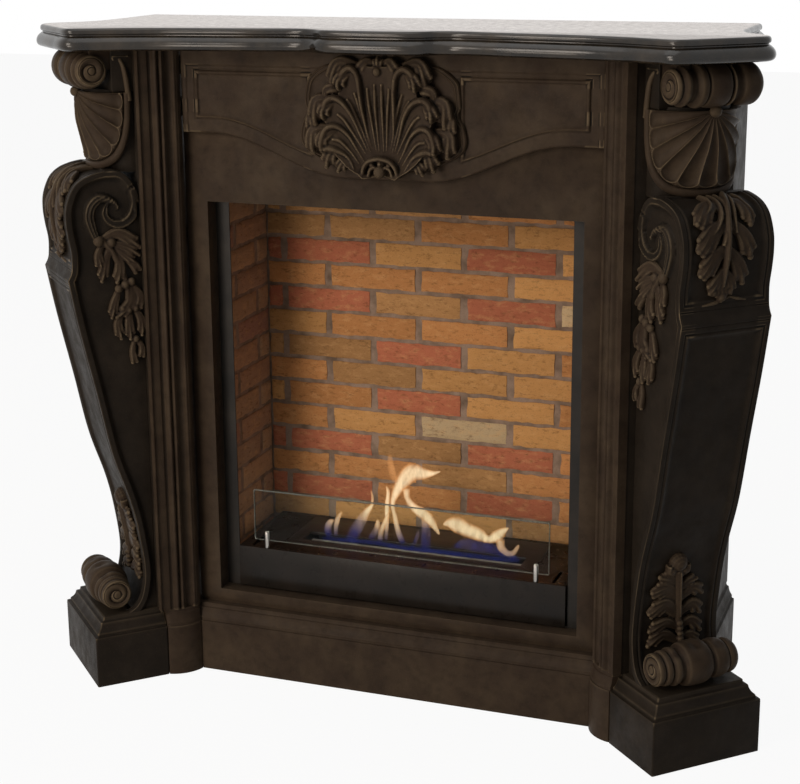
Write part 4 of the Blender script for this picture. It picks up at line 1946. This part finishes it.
@dataclass
class Hearth:
    """Steel parts of the fire: front frame of the firebox, burner, glass screen and their fixings."""

    flange: tuple[float, float, float] = (347.3, 137.0, 850.0)
    mouth: tuple[float, float, float] = (297.0, 148.3, 826.0)
    rim: float = 1.1

    def screen(self, finishes: Finishes) -> None:
        """Adds the sheet of glass and the ground rim round it."""
        low, high = (np.array(c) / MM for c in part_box("glass_screen"))
        half, front, back = high[0], low[1] - RAIL_FACE / MM, high[1] - RAIL_FACE / MM
        outer = (half, low[2], high[2])
        inner = (half - self.rim, low[2] + self.rim, high[2] - self.rim)
        add_piece("glass_rim", window(outer, inner, front, back, 3.0, 0.5), finishes.rim, "glass",
                  ["glass_screen"], "screen")
        sheet = loft(upright(*inner, y, 2.0) for y in (front + 0.2, back - 0.2))
        add_piece("glass_sheet", sheet, finishes.glass, "glass", ["glass_screen"], "screen")

    def build(self, finishes: Finishes) -> None:
        """Adds the front frame and the screen, and rounds the edges of the other steel parts."""
        add_piece("firebox_front_frame", window(self.flange, self.mouth, 54.0, 56.0), finishes.sheet,
                  "black_steel", ["firebox_flange"], sharp=30.0)
        self.screen(finishes)
        for node, name, finish, width, slot, body in (
                ("firebox_stand", "stand_frame", finishes.sheet, 0.8, "black_steel", "surround"),
                ("burner_box", "burner_housing", finishes.burner, 1.2, "black_steel", "surround"),
                ("burner_tank", "spirit_tank", finishes.heated, 0.6, "bright_steel", "insert"),
                ("burner_lid", "sliding_lid", finishes.heated, 0.5, "bright_steel", "lid"),
                ("burner_wick", "fibre_bed", finishes.wool, 1.0, "wick", "insert"),
                ("glass_pins", "screen_pins", finishes.bright, 0.4, "bright_steel", "surround"),
                ("corner_cleats", "angle_irons", finishes.zinc, 0.8, "bare_steel", "surround"),
                ("cleat_bolts", "hexagon_bolts", finishes.zinc, 0.5, "bare_steel", "surround")):
            softened(node, name, finish, width, slot=slot, body=body)


# tongues of flame as (x, z, half width, rise from blue to cream, density)
TONGUES: tuple[tuple[tuple[float, float, float, float, float], ...], ...] = (
    ((-148, 230, 5, 0, .7), (-152, 246, 6.4, .2, .8), (-147, 259, 5, .5, .8), (-140, 264, 1.7, .7, .7)),
    ((-138, 233, 2.8, .1, .6), (-138, 249, 3.5, .4, .8), (-134, 267, 4.3, .7, .8), (-126, 280, 1.7, .9, .6)),
    ((-110, 230, 8.5, 0, .7), (-99, 249, 9.9, .12, .8), (-87, 270, 8.5, .4, .8), (-76, 288, 6.4, .8, .95),
     (-62, 306, 1.4, 1, .9)),
    ((-72, 294, 2.1, .8, .6), (-67, 311, 2.3, .9, .7), (-70, 327, .7, 1, .5)),
    ((-73, 235, 5.7, .05, .5), (-63, 253, 5, .4, .6), (-59, 266, 4.3, .8, .8), (-61, 273, 1.1, .9, .6)),
    ((-52, 236, 5, .05, .5), (-50, 254, 4.3, .6, .8), (-42, 275, 4.3, .9, .8), (-35, 291, 1.4, 1, .6)),
    ((-43, 237, 2.8, .1, .6), (-41, 268, 3.4, .7, .9), (-40, 303, 4, .95, 1), (-38, 327, 2.8, 1, .9),
     (-42, 338, .9, 1, .6)),
    ((-11, 233, 5.7, 0, .6), (-20, 252, 5.1, .4, .9), (-26, 277, 4.3, .8, .9), (-31, 306, 4.3, .95, .9),
     (-23, 330, 8.5, 1, .95), (-9, 352, 12.8, 1, 1), (6, 366, 14.9, 1, 1), (26, 366, 9.9, 1, 1),
     (42, 368, 4.5, 1, .95), (57, 373, .9, 1, .8)),
    ((-23, 347, 5.7, .9, .35), (-29, 368, 6.4, .8, .4), (-32, 382, 5.7, .8, .35), (-32, 398, 2.8, .8, .15)),
    ((-5, 338, 7.1, .95, .8), (-2, 318, 5.1, .9, .95), (11, 303, 7.8, .9, 1), (27, 294, 9.9, .9, 1),
     (40, 283, 7.8, .9, .95), (49, 270, 4.3, .95, .9), (56, 260, .9, 1, .8)),
    ((27, 229, 9.2, 0, .75), (29, 247, 8.5, .08, .7), (29, 267, 7.8, .25, .7), (27, 285, 5.7, .6, .6)),
    ((5, 228, 4.3, 0, .6), (13, 245, 3.4, .1, .5), (20, 264, 3.4, .3, .4)),
    ((62, 280, 1.4, .8, .8), (73, 283, 8.5, .85, .95), (87, 282, 14.2, .9, 1), (105, 275, 12.8, .9, 1),
     (125, 270, 11.4, .95, 1), (143, 263, 6.8, .95, 1), (158, 270, 9.9, .95, 1), (169, 280, 6.4, .95, .95),
     (179, 287, 1.1, 1, .8)),
    ((80, 239, 2.8, .05, .6), (98, 247, 8.5, .15, .7), (121, 246, 9.9, .12, .7), (146, 245, 9.2, .1, .7),
     (171, 237, 6.4, 0, .8), (198, 231, 3.4, 0, .7)),
    ((166, 267, 7.1, .8, .8), (167, 253, 6.4, .6, .7), (178, 244, 5.1, .45, .7), (188, 245, 4.3, .5, .7),
     (195, 254, 3.4, .6, .6), (198, 261, 1.1, .6, .5)),
    ((-163, 228, 2.1, 0, .6), (-120, 229, 3.1, 0, .8), (-63, 231, 3.4, 0, .85), (-8, 228, 3.7, 0, .85),
     (56, 229, 3.7, 0, .9), (128, 229, 4, 0, .85), (197, 229, 2.8, 0, .7)))


@dataclass
class Flames:
    """Tongues of burning spirit: closed ribbons that grow clear towards both edges."""

    slot_y: float = 109.0
    thick: float = 3.0
    swell: float = 1.16

    def build(self, finish: Material) -> None:
        """Adds the tongues, with their rise and density stored for the finish."""
        parts, rises, bodies = [], [], []
        sides = 16
        around = np.abs(np.sin(np.linspace(0, 2 * np.pi, sides, endpoint=False)))
        for k, tongue in enumerate(TONGUES):
            line = catmull(tongue, 8)
            x, z, half, rise, body = line.T
            y = self.slot_y + 5.0 * math.sin(k * 2.1) + 0 * x
            half = np.maximum(half * self.swell, 0.4)
            part = blade(np.stack([x, z, y], 1), half, np.minimum(self.thick, half), sides)
            parts.append(part.placed(lambda p: p[..., [0, 2, 1]]))
            ends = [body[:1] * 0.2, body[-1:] * 0.2]
            fade = np.clip(np.minimum(np.arange(len(x)), np.arange(len(x))[::-1]) / 3 + 0.25, 0, 1)
            bodies.append(np.concatenate([((body * fade)[:, None] * around[None, :] ** 1.5).ravel(), *ends]))
            rises.append(np.concatenate([np.repeat(rise, sides), rise[:1], rise[-1:]]))
        made = add_piece("spirit_flames", joined(parts), finish, "wick", [], "insert", sharp=180.0)
        set_values(made.data, "rise", np.clip(np.concatenate(rises), 0, 1))
        set_values(made.data, "veil", np.clip(np.concatenate(bodies), 0, 1))


CAPITAL_SCROLL = Scroll("capital_roll", "capital_scroll", 33.0, 140.0, 1050.6, 21.0, 173.5, (
    (0, 0.66), (0.012, 0.74), (0.03, 0.78), (0.05, 0.75), (0.062, 0.7), (0.076, 0.76), (0.1, 0.86),
    (0.122, 0.89), (0.145, 0.84), (0.162, 0.75), (0.19, 0.68), (0.225, 0.7), (0.245, 0.84), (0.268, 0.95),
    (0.3, 0.975), (0.33, 0.94), (0.35, 0.84), (0.37, 0.93), (0.42, 0.985), (0.49, 1.0), (0.56, 0.985),
    (0.605, 0.93), (0.63, 0.8), (0.643, 0.91), (0.655, 0.95), (0.668, 0.9), (0.69, 0.76), (0.72, 0.72),
    (0.75, 0.78), (0.775, 0.9), (0.81, 0.96), (0.87, 0.97), (0.93, 0.95), (0.965, 0.88), (0.99, 0.78),
    (1, 0.72)), stem=True)
FOOT_SCROLL = Scroll("foot_roll", "foot_scroll", 35.8, 142.0, 153.4, 22.0, 176.0, (
    (0, 0.66), (0.012, 0.71), (0.035, 0.73), (0.065, 0.7), (0.08, 0.65), (0.1, 0.75), (0.13, 0.79),
    (0.155, 0.76), (0.17, 0.68), (0.187, 0.75), (0.21, 0.83), (0.24, 0.85), (0.265, 0.8), (0.283, 0.71),
    (0.31, 0.72), (0.33, 0.83), (0.355, 0.94), (0.41, 0.99), (0.48, 1.0), (0.55, 0.99), (0.61, 0.93),
    (0.648, 0.81), (0.668, 0.73), (0.685, 0.78), (0.71, 0.85), (0.76, 0.88), (0.82, 0.85), (0.86, 0.78),
    (0.875, 0.72), (0.89, 0.76), (0.92, 0.78), (0.96, 0.74), (0.985, 0.66), (1, 0.6)), turns=2.0,
    dents=((0.24, 62.0, 2.6), (0.48, 74.0, 3.6), (0.78, 66.0, 2.2)))


def dress_nodes(finishes: Finishes) -> None:
    """Gives CAD nodes that stay in view their finish through their material slots."""
    for name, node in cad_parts.items():
        paint = finishes.sheet if name == "firebox_shell" else finishes.casting
        for slot in node.material_slots:
            slot.material = paint


def main() -> None:
    """Builds the stage and every sub-assembly, in order."""
    logging.basicConfig(level=logging.INFO, format="%(name)s: %(message)s")
    finishes = Finishes()
    Studio().build()
    Plinth().build(finishes.casting, finishes.aged)
    Pilaster().build(finishes.casting, finishes.aged)
    softened("inner_frame", "opening_frame", finishes.casting, 1.2)
    Shelf().build(finishes.slab)
    console = Console()
    console.build(finishes.aged)
    CAPITAL_SCROLL.build(finishes.casting)
    FOOT_SCROLL.build(finishes.casting)
    FlutedShell().build(finishes.casting)
    for spray in (KNEE_LEAF, PALMETTE):
        spray.build(lambda q: (q[0], console.run_up(q[1])), console.on_front(4.6), finishes.casting)
    GARLAND.build(lambda q: q, console.on_side, finishes.casting)
    Frieze().build(finishes.casting)
    Cartouche().build(finishes.casting)
    Hearth().build(finishes)
    Flames().build(finishes.flame)
    BrickLining().build(finishes)
    dress_nodes(finishes)


if __name__ == "__main__":
    main()
